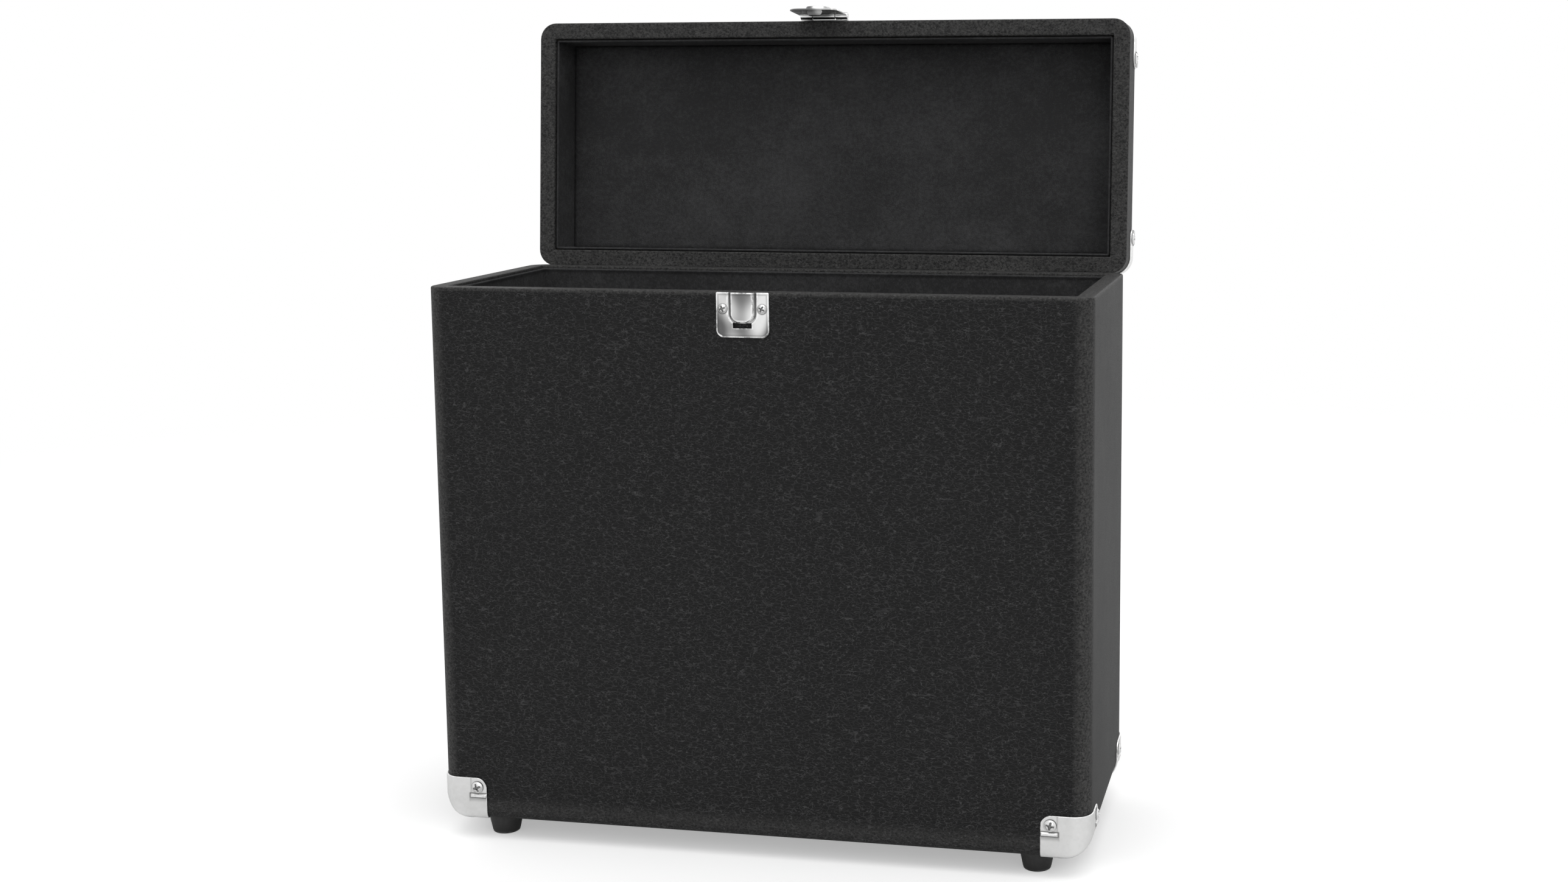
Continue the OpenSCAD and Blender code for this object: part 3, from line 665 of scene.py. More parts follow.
def stamped(half, low, high, thick, low_r, high_r, lift=None, step=1.0):
    """A stamped plate that faces -Y, from height low to high, with its back at 0."""
    form = (half, high - low, low_r, high_r)

    def stand_out(x, z):
        rise, painted_shade = lift(x, z) if lift else (0, 0)
        soft = min(PRESSED, thick * 0.9)
        return thick - dome_edge(edge_distance(x, z, form), soft) + rise, painted_shade

    outer, inner = plate_grids(ticks(-half, half, step), ticks(0, high - low, step), form,
                               stand_out, low)
    # A hasp stands free, so its back gets no painted shade.
    if lift:
        inner[..., 3] = 0
    return sheet(outer, inner)


def tongue_distance(x, z, half, low, r):
    """Signed distance to a tongue that runs up and off its plate's top edge."""
    dx, dz = abs(x) - (half - r), (low + r) - z
    if dx > 0 and dz > 0:
        return sqrt(dx * dx + dz * dz) - r
    return max(dx - r, dz - r)


def catch_plate():
    """The catch on the body: a stamped plate with a raised tongue and a slot under it, with
    each point's share of painted highlight; its points also carry painted shade."""
    centre, (half, _, half_high) = middle("latch_catch_plate", BODY)
    height, base = 2 * half_high, corners("latch_catch_plate", BODY)[0][2]
    head, step = size("small_head"), 0.33
    screw_x = middle("catch_plate_screws", BODY)[1][0] - head
    screw_z = height - 9.0
    tongue_half, tongue_low, tongue_round = 6.25, height - 16.0, 4.6
    slot_half, slot_low, slot_high = 5.25, height - 19.3, height - 16.5
    collar, collar_end = 2.1, 10
    form = (half, height, size("plate_round"), 0.7)

    def distances(x, z):
        """Signed distances to the tongue, the outline and the slot."""
        return (tongue_distance(x, z, tongue_half, tongue_low, tongue_round),
                edge_distance(x, z, form), max(abs(x) - slot_half, slot_low - z, z - slot_high))

    def lift(x, z):
        """How far a point stands out, and its share of painted shade around the tongue, along the
        outline and around the screws.
        """
        tongue, rim, slot = distances(x, z)
        beside = smooth((collar_end - abs(x)) / 1.5)
        h = size("plate") - dome_edge(rim, PRESSED)
        h += size("tongue") * smooth(0.5 - tongue / 0.9)
        h -= 0.28 * ridge(tongue, 1.15, 0.42)
        h += 0.22 * ridge(tongue, collar, 0.45) * beside
        ring = sqrt((abs(x) - screw_x) ** 2 + (z - screw_z) ** 2) - head
        # Painted shade around the tongue, along the outline and around the screws.
        painted_shade = max(ridge(tongue, 0.85, 0.55) * (0.35 + 0.65 * smooth((z - tongue_low) / 3)),
                     0.45 * ridge(rim, 1.3, 0.25), 0.9 * ridge(ring, 0.1, 0.3))
        if slot > -0.3:
            h += 0.45 * ridge(slot, 0, 0.55) * (1 if z < slot_high else 0.4)
        return max(h, 0.12), min(painted_shade, 1) * smooth(slot / 0.6)

    def rubbed(x, z):
        """A point's share of painted highlight, on the outline, the tongue's edge, the slot's
        frame and the collar.
        """
        tongue, rim, slot = distances(x, z)
        return max(1 - smooth(rim / 0.9), ridge(tongue, -0.35, 0.45), ridge(slot, 0, 0.6),
                   0.8 * ridge(tongue, collar, 0.5) * smooth((collar_end - abs(x)) / 1.5))

    def lines(low, high, fixed):
        """Grid lines with a line at each of two fixed places and none too near to them."""
        fixed = [round(f, 3) for f in fixed]
        found = sorted(set(round(v, 3) for v in [*ticks(low, high, step), *fixed]))
        return [v for v in found if v in fixed or min(abs(v - f) for f in fixed) > 0.12]

    xs, zs = lines(-half, half, (-slot_half, slot_half)), lines(0, height, (slot_low, slot_high))
    outer, inner = plate_grids(xs, zs, form, lift, base)
    between_x = (np.array(xs)[1:] + np.array(xs)[:-1]) / 2
    between_z = (np.array(zs)[1:] + np.array(zs)[:-1]) / 2
    keep = ~((abs(between_x) < slot_half)[None, :]
             & ((between_z > slot_low) & (between_z < slot_high))[:, None])
    # Painted highlight: a bright outline on the plate's edge, the tongue's edge, the slot's frame
    # and the collar.
    edges = [rubbed(x, z) for z in zs for x in xs]
    outer[..., 0] += centre[0]
    inner[..., 0] += centre[0]
    return sheet(outer, inner, keep), np.array(edges + [0] * len(edges))


# ---- Knuckles, pins and bars ----

# Play of a pin in its bore.
BORE = 0.05


def bevelled(inner, outer, long, bevel):
    """The profile of a bevelled bar or knuckle, from end to end."""
    h, soft = long / 2, bevel * 0.3
    half = [(inner, h), (outer - bevel, h), (outer - soft, h - soft), (outer, h - bevel)]
    return [(r, -z) for r, z in half] + half[::-1]


def tube(outer, pin, long, bevel=0.3):
    """A bevelled knuckle along X, centred and bored for a pin."""
    return moved(turned(bevelled(pin + BORE, outer, long, bevel), 40, loop=True), OUT_SIDE)


def rod(radius, long):
    """A bevelled pin along X, centred."""
    return moved(turned(bevelled(radius * 0.1, radius, long, 0.25), 32), OUT_SIDE)


def block(x0, x1, y0, y1, z0, z1, bevel=0.25):
    """A small bevelled block, such as a web between a knuckle and its plate."""
    rows = []
    for z, cut in ((z0, bevel), (z0 + bevel, 0), (z1 - bevel, 0), (z1, bevel)):
        a, b, c, d = x0 + cut, x1 - cut, y0 + cut, y1 - cut
        rows.append([(a + bevel, c, z), (b - bevel, c, z), (b, c + bevel, z), (b, d - bevel, z),
                     (b - bevel, d, z), (a + bevel, d, z), (a, d - bevel, z), (a, c + bevel, z)])
    return skin(rows)


def bent_bar(path, radii, steps=20):
    """A round bar along a path of points."""
    path = [Vector(p) for p in path]
    angles = [2 * pi * k / steps for k in range(steps)]
    rows, side = [], None
    for i, p in enumerate(path):
        ahead = (path[min(i + 1, len(path) - 1)] - path[max(i - 1, 0)]).normalized()
        if side is None:
            side = ahead.orthogonal().normalized()
        side = (side - ahead * side.dot(ahead)).normalized()
        up = ahead.cross(side)
        rows.append([tuple(p + radii[i] * (side * cos(a) + up * sin(a))) for a in angles])
    return skin(rows)


# ---- Surface effects ----

class Graph:
    """Adds shader nodes and joins them."""

    def __init__(self, tree):
        self.tree = tree

    def feed(self, value, socket):
        """Links a socket to another one, or sets its value."""
        if isinstance(value, bpy.types.NodeSocket):
            self.tree.links.new(value, socket)
        else:
            socket.default_value = value

    def add(self, kind, inputs=(), **settings):
        """A node with its inputs fed and its settings made."""
        n = self.tree.nodes.new("ShaderNode" + kind)
        for key, value in settings.items():
            setattr(n, key, value)
        for key, value in dict(inputs).items():
            self.feed(value, n.inputs[key])
        return n

    def math(self, operation, a, b=0.0, clamp=False):
        return self.add("Math", {0: a, 1: b}, operation=operation, use_clamp=clamp).outputs[0]

    def vector(self, operation, a, b):
        return self.add("VectorMath", {0: a, 1: b}, operation=operation).outputs[0]

    def weighed(self, a, weight, b):
        """a times its weight, plus b."""
        return self.math("ADD", self.math("MULTIPLY", a, weight), b)

    def span(self, value, low, high, to_low=0.0, to_high=1.0):
        """An easy step from to_low to to_high between two values."""
        return self.add("MapRange", {0: value, 1: low, 2: high, 3: to_low, 4: to_high},
                        interpolation_type="SMOOTHSTEP").outputs[0]

    def mix(self, factor, a, b):
        return self.add("Mix", {0: factor, 6: a, 7: b}, data_type="RGBA").outputs[2]

    def noise(self, place, scale, detail=2.0, rough=0.5):
        return self.add("TexNoise", {"Vector": place, "Scale": scale, "Detail": detail,
                                     "Roughness": rough}).outputs["Fac"]

    def bump(self, height, distance, strength=1.0, under=None):
        """A bump of a depth in metres, on top of another one."""
        inputs = {"Height": height, "Distance": distance, "Strength": strength}
        if under is not None:
            inputs["Normal"] = under
        return self.add("Bump", inputs).outputs[0]

    def use(self, group, **inputs):
        """The outputs of a node group."""
        return self.add("Group", inputs, node_tree=group).outputs

    def rays(self):
        """Whether a ray comes straight from the camera, by way of metal or glass, or either."""
        light = self.add("LightPath").outputs
        mirrored = self.math("ADD", light["Is Glossy Ray"], light["Is Transmission Ray"],
                             clamp=True)
        return (light["Is Camera Ray"], mirrored,
                self.math("ADD", light["Is Camera Ray"], mirrored, clamp=True))


def emptied(owner):
    """The node tree of a material or a world, with its nodes taken out."""
    owner.use_nodes = True
    owner.node_tree.nodes.clear()
    return owner.node_tree


def effect(name, inputs, outputs, build):
    """A shader node group, built once and shared by the materials."""
    tree = bpy.data.node_groups.get(name)
    if tree is None:
        tree = bpy.data.node_groups.new(name, "ShaderNodeTree")
        for label, default in inputs.items():
            kind = "NodeSocketVector" if default is None else "NodeSocketFloat"
            socket = tree.interface.new_socket(name=label, in_out="INPUT", socket_type=kind)
            if default is not None:
                socket.default_value = default
        for label in outputs:
            tree.interface.new_socket(name=label, in_out="OUTPUT", socket_type="NodeSocketFloat")
        given = tree.nodes.new("NodeGroupInput").outputs
        put = tree.nodes.new("NodeGroupOutput").inputs
        graph = Graph(tree)
        for label, value in build(graph, given).items():
            graph.feed(value, put[label])
    return tree


def leather_grain():
    """Long cells with creases between them, for the cover and the grip."""
    warp, off_lattice, pore_depth = 0.0009, (0.37, 0.43, 0.29), 0.35

    def build(g, given):
        drift = g.add("TexNoise", {"Vector": given["Place"], "Scale": 170.0, "Detail": 2.0})
        drift = g.vector("SUBTRACT", drift.outputs["Color"], (0.5, 0.5, 0.5))
        drift = g.vector("MULTIPLY", drift, (warp, warp, warp))
        mean = g.math("MULTIPLY", g.math("ADD", given["Long"], given["High"]), 0.5)
        cell = g.add("CombineXYZ", {0: given["Long"], 1: mean, 2: given["High"]}).outputs[0]
        place = g.vector("DIVIDE", g.vector("ADD", given["Place"], drift), cell)
        gap = g.add("TexVoronoi", {"Vector": place, "Scale": 1.0},
                    feature="DISTANCE_TO_EDGE").outputs["Distance"]
        level = g.noise(g.vector("ADD", place, off_lattice), 1.3, 0.6)
        wrinkle = g.span(g.math("ABSOLUTE", g.math("SUBTRACT", level, 0.5)), 0.0, 0.036, 0.9, 0.0)
        # The crease mask also carries the cover's painted highlight colour.
        crease_and_highlight = g.math("MAXIMUM", g.span(gap, 0.0, 0.065, 0.5, 0.0), wrinkle)
        pores = g.weighed(g.noise(place, 4.0, 3.0), pore_depth, 0.7)
        return {"Height": g.math("SUBTRACT", pores, crease_and_highlight), "Crease": crease_and_highlight}
    return effect("Leather grain", {"Place": None, "Long": 0.0029, "High": 0.0013},
                  ("Height", "Crease"), build)


def edge_wear_and_highlight():
    """Rubbed places and painted highlights along the edges that the pieces mark."""
    def build(g, given):
        patch = g.noise(given["Place"], given["Scale"], 4.0, 0.62)
        wear_and_highlight = g.math("MULTIPLY", given["Edge"], g.span(patch, 0.32, 0.72))
        return {"Mask": g.math("MULTIPLY", wear_and_highlight, given["Amount"], clamp=True)}
    return effect("Edge wear", {"Place": None, "Edge": 0.0, "Scale": 90.0, "Amount": 1.0},
                  ("Mask",), build)


def handling():
    """Patches that hands and cloths leave, from Low to High."""
    def build(g, given):
        broad = g.noise(given["Place"], given["Scale"], 3.0, 0.55)
        fine = g.noise(given["Place"], g.math("MULTIPLY", given["Scale"], 9.0), 2.0)
        both = g.weighed(broad, 0.7, g.math("MULTIPLY", fine, 0.3))
        scaled = g.add("MapRange", {0: both, 1: 0.3, 2: 0.7, 3: given["Low"], 4: given["High"]})
        return {"Value": scaled.outputs[0]}
    return effect("Handling", {"Place": None, "Scale": 20.0, "Low": 0.0, "High": 1.0},
                  ("Value",), build)


# ---- Materials ----

class Surface(Graph):
    """One material in the making, with its shader and the marks on the pieces."""

    def __init__(self, name):
        super().__init__(emptied(bpy.data.materials.new("case_" + name)))
        shader = self.add("BsdfPrincipled")
        self.inputs = shader.inputs
        self.add("OutputMaterial", {"Surface": shader.outputs[0]})
        self.place = self.add("TexCoord").outputs["Object"]
        # The edge mark is each point's share of rubbed edge and painted highlight, the second mark
        # its share of painted shade.
        self.edge, self.painted_shade = (self.add("Attribute", attribute_name=mark).outputs["Fac"]
                                  for mark in ("edge", "painted_shade"))

    def wear_and_highlight(self, scale, amount):
        """The mask of the rubbed edges and painted highlights."""
        return self.use(edge_wear_and_highlight(), Place=self.place, Edge=self.edge, Scale=scale,
                        Amount=amount)["Mask"]

    def touched(self, scale, low, high):
        """A value that goes from low to high in patches."""
        return self.use(handling(), Place=self.place, Scale=scale, Low=low, High=high)["Value"]

    def grain(self, long, high):
        return self.use(leather_grain(), Place=self.place, Long=long, High=high)

    def stretched(self, x, y, z):
        return self.vector("MULTIPLY", self.place, (x, y, z))

    def end(self, colour, rough, normal, **plain):
        """Feeds the shader. plain gives values that are the same all over."""
        self.feed(colour, self.inputs["Base Color"])
        self.feed(rough, self.inputs["Roughness"])
        self.feed(normal, self.inputs["Normal"])
        for label, value in plain.items():
            self.inputs[label.replace("_", " ")].default_value = value


def leatherette(s):
    """Grained black sheet, with a painted highlight in its creases, and paler where its edges are
    rubbed and where a painted highlight lies along its rim and upright edges.
    """
    grain = s.grain(finish("grain_length"), finish("grain_height"))
    # Painted highlight in the creases.
    colour = s.mix(grain["Crease"], finish("sheet"), finish("crease_and_highlight"))
    rough = s.weighed(s.touched(9.0, 0.0, 1.0), 0.07, 0.51)
    slack = s.bump(s.noise(s.place, 14.0, 1.0), 0.0012)
    # Paler on rubbed edges; along the rim and the upright edges this is also a painted highlight.
    s.end(s.mix(s.wear_and_highlight(800.0, 1.1), colour, finish("scuff_and_highlight")),
          s.math("ADD", rough, s.math("MULTIPLY", grain["Crease"], 0.12)),
          s.bump(grain["Height"], finish("grain_depth"), 1.0, slack), Specular_IOR_Level=0.16)


def velvet(s):
    """Brushed lining cloth whose nap lies one way or the other."""
    lie = s.touched(11.0, -0.25, 0.75)
    fibre = s.noise(s.stretched(1.0, 1.0, 0.6), 1500.0, 2.0, 0.7)
    tuft = s.noise(s.place, 420.0, 2.0, 0.6)
    fluff = s.weighed(fibre, 0.6, s.math("MULTIPLY", tuft, 0.5))
    factor = s.math("ADD", lie, s.span(fluff, 0.35, 0.8, -0.35, 0.55), clamp=True)
    s.end(s.mix(factor, finish("cloth"), finish("nap")), s.span(lie, 0.0, 1.0, 0.95, 0.8),
          s.bump(fluff, 0.0005, 0.9, s.bump(s.noise(s.place, 30.0, 2.0), 0.0015)),
          Specular_IOR_Level=0.08, Sheen_Weight=0.03, Sheen_Roughness=0.45)


def nickel(s):
    """Satin nickel of the caps and hinges, dull in patches, bright on its edges from rubbing and a
    painted highlight, and with painted shade in its grooves.
    """
    dark_patches = s.math("MAXIMUM", s.touched(60.0, -0.2, 0.6), 0.0)
    # Bright edges: rubbing and a painted highlight on the caps' edges and ribs.
    bright = s.wear_and_highlight(400.0, 1.4)
    colour = s.mix(bright, s.mix(dark_patches, finish("metal"), finish("tarnish")), finish("polish_and_highlight"))
    rough = s.math("SUBTRACT", s.touched(150.0, 0.27, 0.36), s.math("MULTIPLY", bright, 0.12))
    satin = s.noise(s.stretched(900.0, 900.0, 5200.0), 1.0, 2.0)
    # Painted shade in the grooves.
    s.end(s.mix(s.painted_shade, colour, finish("painted_groove_shade")), rough,
          s.bump(satin, 0.00001, 0.7, s.bump(s.noise(s.place, 130.0, 2.0), 0.0001)), Metallic=1.0)


def chrome(s):
    """Brighter plating of the latch, with dim patches as of a dark room mirrored in it: a painted
    reflection. Its edges carry painted highlights and its grooves painted shade.
    """
    # Painted reflection: dim patches stand in for a dark room mirrored in the chrome.
    dark_patches = s.span(s.noise(s.stretched(1.0, 1.0, 0.6), 75.0, 0.0), 0.26, 0.6)
    colour = s.mix(dark_patches, finish("metal"), finish("painted_dark_reflection"))
    # Painted highlight on the edges that the catch plate marks.
    colour = s.mix(s.wear_and_highlight(300.0, 1.8), colour, finish("painted_highlight"))
    # Painted shade in the grooves.
    s.end(s.mix(s.painted_shade, colour, finish("painted_groove_shade")), s.touched(150.0, 0.12, 0.24),
          s.bump(s.noise(s.place, 170.0, 2.0), 0.00015), Metallic=1.0)


def bright_steel(s):
    """Plated steel of the screws and pins, with painted shade in the cross recesses and under the
    heads.
    """
    colour = s.mix(s.touched(300.0, 0.0, 0.5), finish("steel"), finish("tarnish"))
    # Painted shade in the cross recesses and under the heads.
    s.end(s.mix(s.painted_shade, colour, finish("painted_groove_shade")), s.touched(500.0, 0.2, 0.32),
          s.bump(s.noise(s.place, 900.0, 2.0), 0.00003), Metallic=1.0)


def rubber(s):
    """Black rubber of the feet, dusty, and paler at its lower edge from scrapes and a painted
    highlight.
    """
    dust = s.touched(200.0, 0.0, 0.35)
    colour = s.mix(dust, finish("rubber"), finish("dust"))
    s.end(s.mix(s.wear_and_highlight(500.0, 0.9), colour, finish("scrape_and_highlight")), s.weighed(dust, 0.2, 0.5),
          s.bump(s.noise(s.place, 1600.0, 2.0), 0.00006), Specular_IOR_Level=0.4)


def grip(s):
    """Moulded grip with a fine grain."""
    s.end(s.mix(s.wear_and_highlight(120.0, 0.5), finish("grip"), finish("scuff_and_highlight")),
          s.touched(25.0, 0.38, 0.52), s.bump(s.grain(0.0018, 0.0012)["Height"], 0.00007),
          Specular_IOR_Level=0.4)


def board(s):
    """Plywood under the cover."""
    ring = s.noise(s.stretched(3.0, 60.0, 220.0), 1.0, 4.0, 0.6)
    tint = finish("board")
    dark = (tint[0] * 0.6, tint[1] * 0.55, tint[2] * 0.5, 1)
    s.end(s.mix(s.span(ring, 0.35, 0.65), tint, dark), s.span(ring, 0.2, 0.8, 0.55, 0.75),
          s.bump(ring, 0.0001))


MAKERS = {maker.__name__: maker for maker in (leatherette, velvet, nickel, chrome, bright_steel,
                                              rubber, grip, board)}


def material(name):
    """One of the case's materials, made the first time it is asked for."""
    if "case_" + name not in bpy.data.materials:
        MAKERS[name](Surface(name))
    return bpy.data.materials["case_" + name]


# ---- Operators: one for each piece or group of like pieces ----

class Fitting(bpy.types.Operator):
    """Common settings of the case's operators."""
    bl_idname = "case.fitting"
    bl_label = "Fitting"
    bl_options = {"REGISTER", "UNDO"}


class CoverTubs(Fitting):
    """Builds the leather-like cover of the body and of the lid"""
    bl_idname = "case.cover_tubs"
    bl_label = "Covers"

    def execute(self, context):
        part, edges = tub_cover(HEIGHT)
        piece("body_leatherette", part, "body", "leatherette", "body_cover", edges, 50)
        part, edges = tub_cover(LID_HEIGHT)
        piece("lid_leatherette", moved(part, TURN_OVER), "lid", "leatherette", "lid_cover", edges,
              50)
        return {"FINISHED"}


class LineTubs(Fitting):
    """Builds the lining of the body and of the lid"""
    bl_idname = "case.line_tubs"
    bl_label = "Linings"

    def execute(self, context):
        for name, part, holder, replaced in (
                ("body_wall_cloth", wall_cloth(HEIGHT), "body", "body_wall_lining"),
                ("body_floor_cloth", cloth_pad(FLOOR_CLOTH, soft=0.6, swell=0.12), "body",
                 "body_floor_lining"),
                ("lid_wall_cloth", wall_cloth(LID_HEIGHT), "lid", "lid_wall_lining"),
                ("lid_top_pad", cloth_pad(PAD, soft=2.6, swell=0.5), "lid", "lid_top_lining")):
            if holder == "lid":
                part = moved(part, TURN_OVER)
            piece(name, part, holder, "velvet", replaced, angle=60)
        return {"FINISHED"}


class FitCaps(Fitting):
    """Builds the eight corner caps and their screws"""
    bl_idname = "case.fit_caps"
    bl_label = "Corner caps"

    def execute(self, context):
        places = {"body": cap_screw_places()}
        places["lid"] = [TURN_OVER @ place for place in places["body"]]
        for side, left in ((-1, "left"), (1, "right")):
            for face, front in ((-1, "front"), (1, "back")):
                part, edges = corner_cap(side, face)
                piece(f"body_corner_{front}_{left}", part, "body", "nickel",
                      f"body_cap_{front}_{left}", edges, 45)
                piece(f"lid_corner_{front}_{left}", moved(part, TURN_OVER), "lid", "nickel",
                      f"lid_cap_{front}_{left}", edges, 45)
        for holder in ("body", "lid"):
            set_screws(f"{holder}_corner_screws", places[holder], size("head"), size("cap"),
                       holder, f"{holder}_cap_screws")
        return {"FINISHED"}


class FitFeet(Fitting):
    """Builds the four rubber feet and their screws"""
    bl_idname = "case.fit_feet"
    bl_label = "Feet"

    def execute(self, context):
        hole, recess, seat, steps = size("shank") + 0.15, size("foot_recess"), 5.0, 56
        # Paler band at the lower edge: scrapes and a painted highlight.
        rubbed = [0, 0, 0.2, 0, 0.6, 1, 1, 0.4, 0, 0, 0, 0, 0, 0]
        places = []
        for side in ("left", "right"):
            for face in ("front", "back"):
                (x, y, _), (top, _, half_tall) = middle(f"foot_{face}_{side}", BODY)
                tall, floor = 2 * half_tall, top * 0.77
                profile = [(hole, tall), (top - 0.3, tall), (top, tall - 0.35),
                           (floor + 0.2, 1.5), (floor, 0.95), (floor - 0.05, 0.6),
                           (floor - 0.25, 0.25), (floor - 0.55, 0.05), (floor - 0.9, 0),
                           (recess + 0.5, 0), (recess + 0.1, 0.2), (recess, 0.7),
                           (recess, seat), (hole, seat)]
                centre = shift(x, y, -tall)
                part = moved(turned(profile, steps, loop=True), centre)
                piece(f"{face}_{side}_foot", part, "body", "rubber", f"foot_{face}_{side}",
                      np.repeat(rubbed, steps), 40)
                places.append(centre @ shift(0, 0, seat) @ turn(180))
        set_screws("foot_fixing_screws", places, size("head"), tall - seat, "body", "foot_screws")
        return {"FINISHED"}


class FitCatch(Fitting):
    """Builds the catch plate on the body and its screws"""
    bl_idname = "case.fit_catch"
    bl_label = "Catch plate"

    def execute(self, context):
        part, edges = catch_plate()
        piece("catch_plate", part, "body", "chrome", "latch_catch_plate", edges, 40)
        plate_screws("catch_screws", "body", "catch_plate_screws")
        return {"FINISHED"}


class FitHasp(Fitting):
    """Builds the latch on the lid: base plate, pin, screws and the hinged hasp"""
    bl_idname = "case.fit_hasp"
    bl_label = "Hasp"

    def execute(self, context):
        t, play, web_back = size("plate"), 0.3, 0.05
        low, high = corners("latch_hasp", HASP)
        half, bottom, knuckle, own = (high[0] - low[0]) / 2, low[2], high[2], 14.0
        pin_half = middle("latch_pin", HASP)[1]
        pin, pin_long = pin_half[2], 2 * pin_half[0]
        wing_top, lip_z = -knuckle - 0.6, bottom + 2 * half / 5
        dome_half, dome_round, dome_low = 7.5, 6.5, lip_z + 0.6 - bottom
        wing_start, wing_width, wing_fall = 8.5, 5, 0.15

        def swell(x, z):
            """How far dome and wings stand out, with painted shade around the dome."""
            d = tongue_distance(x, z, dome_half, dome_low, dome_round)
            wing = smooth((abs(x) - wing_start) / wing_width)
            rise = size("dome") * smooth(0.4 - d / 1.6) - wing_fall * wing
            return rise, 0.8 * ridge(d, 0.9, 0.4)

        plate = stamped(half, bottom, wing_top, t, size("plate_round"), 1.2, swell, 0.5)
        strap = block(-own / 2, own / 2, -t, -web_back, wing_top - 0.6, -pin - 0.25)
        lip = []
        for y, wide, thick in ((-0.3, 4.6, 0.62), (1.2, 4.4, 0.6), (2.0, 4.0, 0.55),
                               (2.6, 3.5, 0.45), (2.9, 2.9, 0.25)):
            narrow, soft = wide - 0.3, thick * 0.6
            lip.append([(x, y, lip_z + z) for x, z in (
                (-wide, -soft), (-narrow, -thick), (narrow, -thick), (wide, -soft),
                (wide, soft), (narrow, thick), (-narrow, thick), (-wide, soft))])
        parts = [plate, strap, skin(lip), tube(knuckle, pin, own)]
        piece("hasp", joined(parts), "hasp", "chrome", "latch_hasp")
        x, y, z = LID.inverted() @ HASP_LINE / MM
        top = corners("latch_base_plate", LID)[1][2]
        parts = [moved(stamped(half, z, top, t, 0.4, 2.5), shift(x, 0, 0))]
        end = (pin_long - own) / 2 - play
        for side in (-1, 1):
            centre = shift(x + side * (pin_long - end) / 2, y, z)
            web = block(-end / 2, end / 2, pin + 0.4, -y - play, 0.1, knuckle - 0.1)
            parts += [moved(tube(knuckle, pin, end), centre), moved(web, centre)]
        piece("base_plate", joined(parts), "lid", "chrome", "latch_base_plate")
        piece("hasp_pin", moved(rod(pin, pin_long), shift(x, y, z)), "lid", "bright_steel",
              "latch_pin")
        plate_screws("base_screws", "lid", "base_plate_screws")
        return {"FINISHED"}


class FitHinges(Fitting):
    """Builds the two hinges at the back, with their pins and screws"""
    bl_idname = "case.fit_hinges"
    bl_label = "Hinges"

    def execute(self, context):
        t, r, edge = size("leaf"), size("knuckle"), size("head") + 2
        play, web_back, free_round, bent_round = 0.6, 0.05, 2.5, 0.3
        screws = {"body": [], "lid": []}
        for side in ("left", "right"):
            (x, y, z), (half, _, pin) = middle(f"{side}_hinge_pin", BODY)
            own = (2 * half - 3 * play) / 3
            leaf_low = corners(f"{side}_hinge_body_leaf", BODY)[0][2] - z
            leaf_high = corners(f"{side}_hinge_lid_leaf", LID)[1][2] - z
            lid_low = LID_RIM - z
            back = shift(x, DEPTH, z) @ turn(180, "Z")
            axis = shift(x, y, z)
            leaf = stamped(half, leaf_low, -r - play, t, free_round, bent_round)
            parts = [moved(leaf, back)]
            for k in (-1, 1):
                centre = k * (own + play)
                web = block(centre - own / 2, centre + own / 2, -t, -web_back, -r - 1.0, -0.2)
                parts += [moved(tube(r, pin, own), axis @ shift(centre, 0, 0)), moved(web, back)]
                across = x + k * (half - edge)
                for holder, up in (("body", leaf_low + edge), ("lid", leaf_high - edge)):
                    screws[holder].append(shift(across, DEPTH + t, z + up) @ OUT_BACK)
            piece(f"{side}_body_leaf", joined(parts), "body", "nickel",
                  f"{side}_hinge_body_leaf")
            web = block(-own / 2, own / 2, -t, -web_back, 0.2, lid_low + 0.6)
            leaf = stamped(half, lid_low, leaf_high, t, bent_round, free_round)
            parts = [moved(leaf, back), moved(tube(r, pin, own), axis), moved(web, back)]
            piece(f"{side}_lid_leaf", joined(parts), "lid", "nickel", f"{side}_hinge_lid_leaf")
            piece(f"{side}_leaf_pin", moved(rod(pin, 2 * half), axis), "body", "bright_steel",
                  f"{side}_hinge_pin")
        for holder in ("body", "lid"):
            set_screws(f"{holder}_hinge_screws", screws[holder], size("small_head"), t, holder,
                       f"{holder}_leaf_screws")
        return {"FINISHED"}


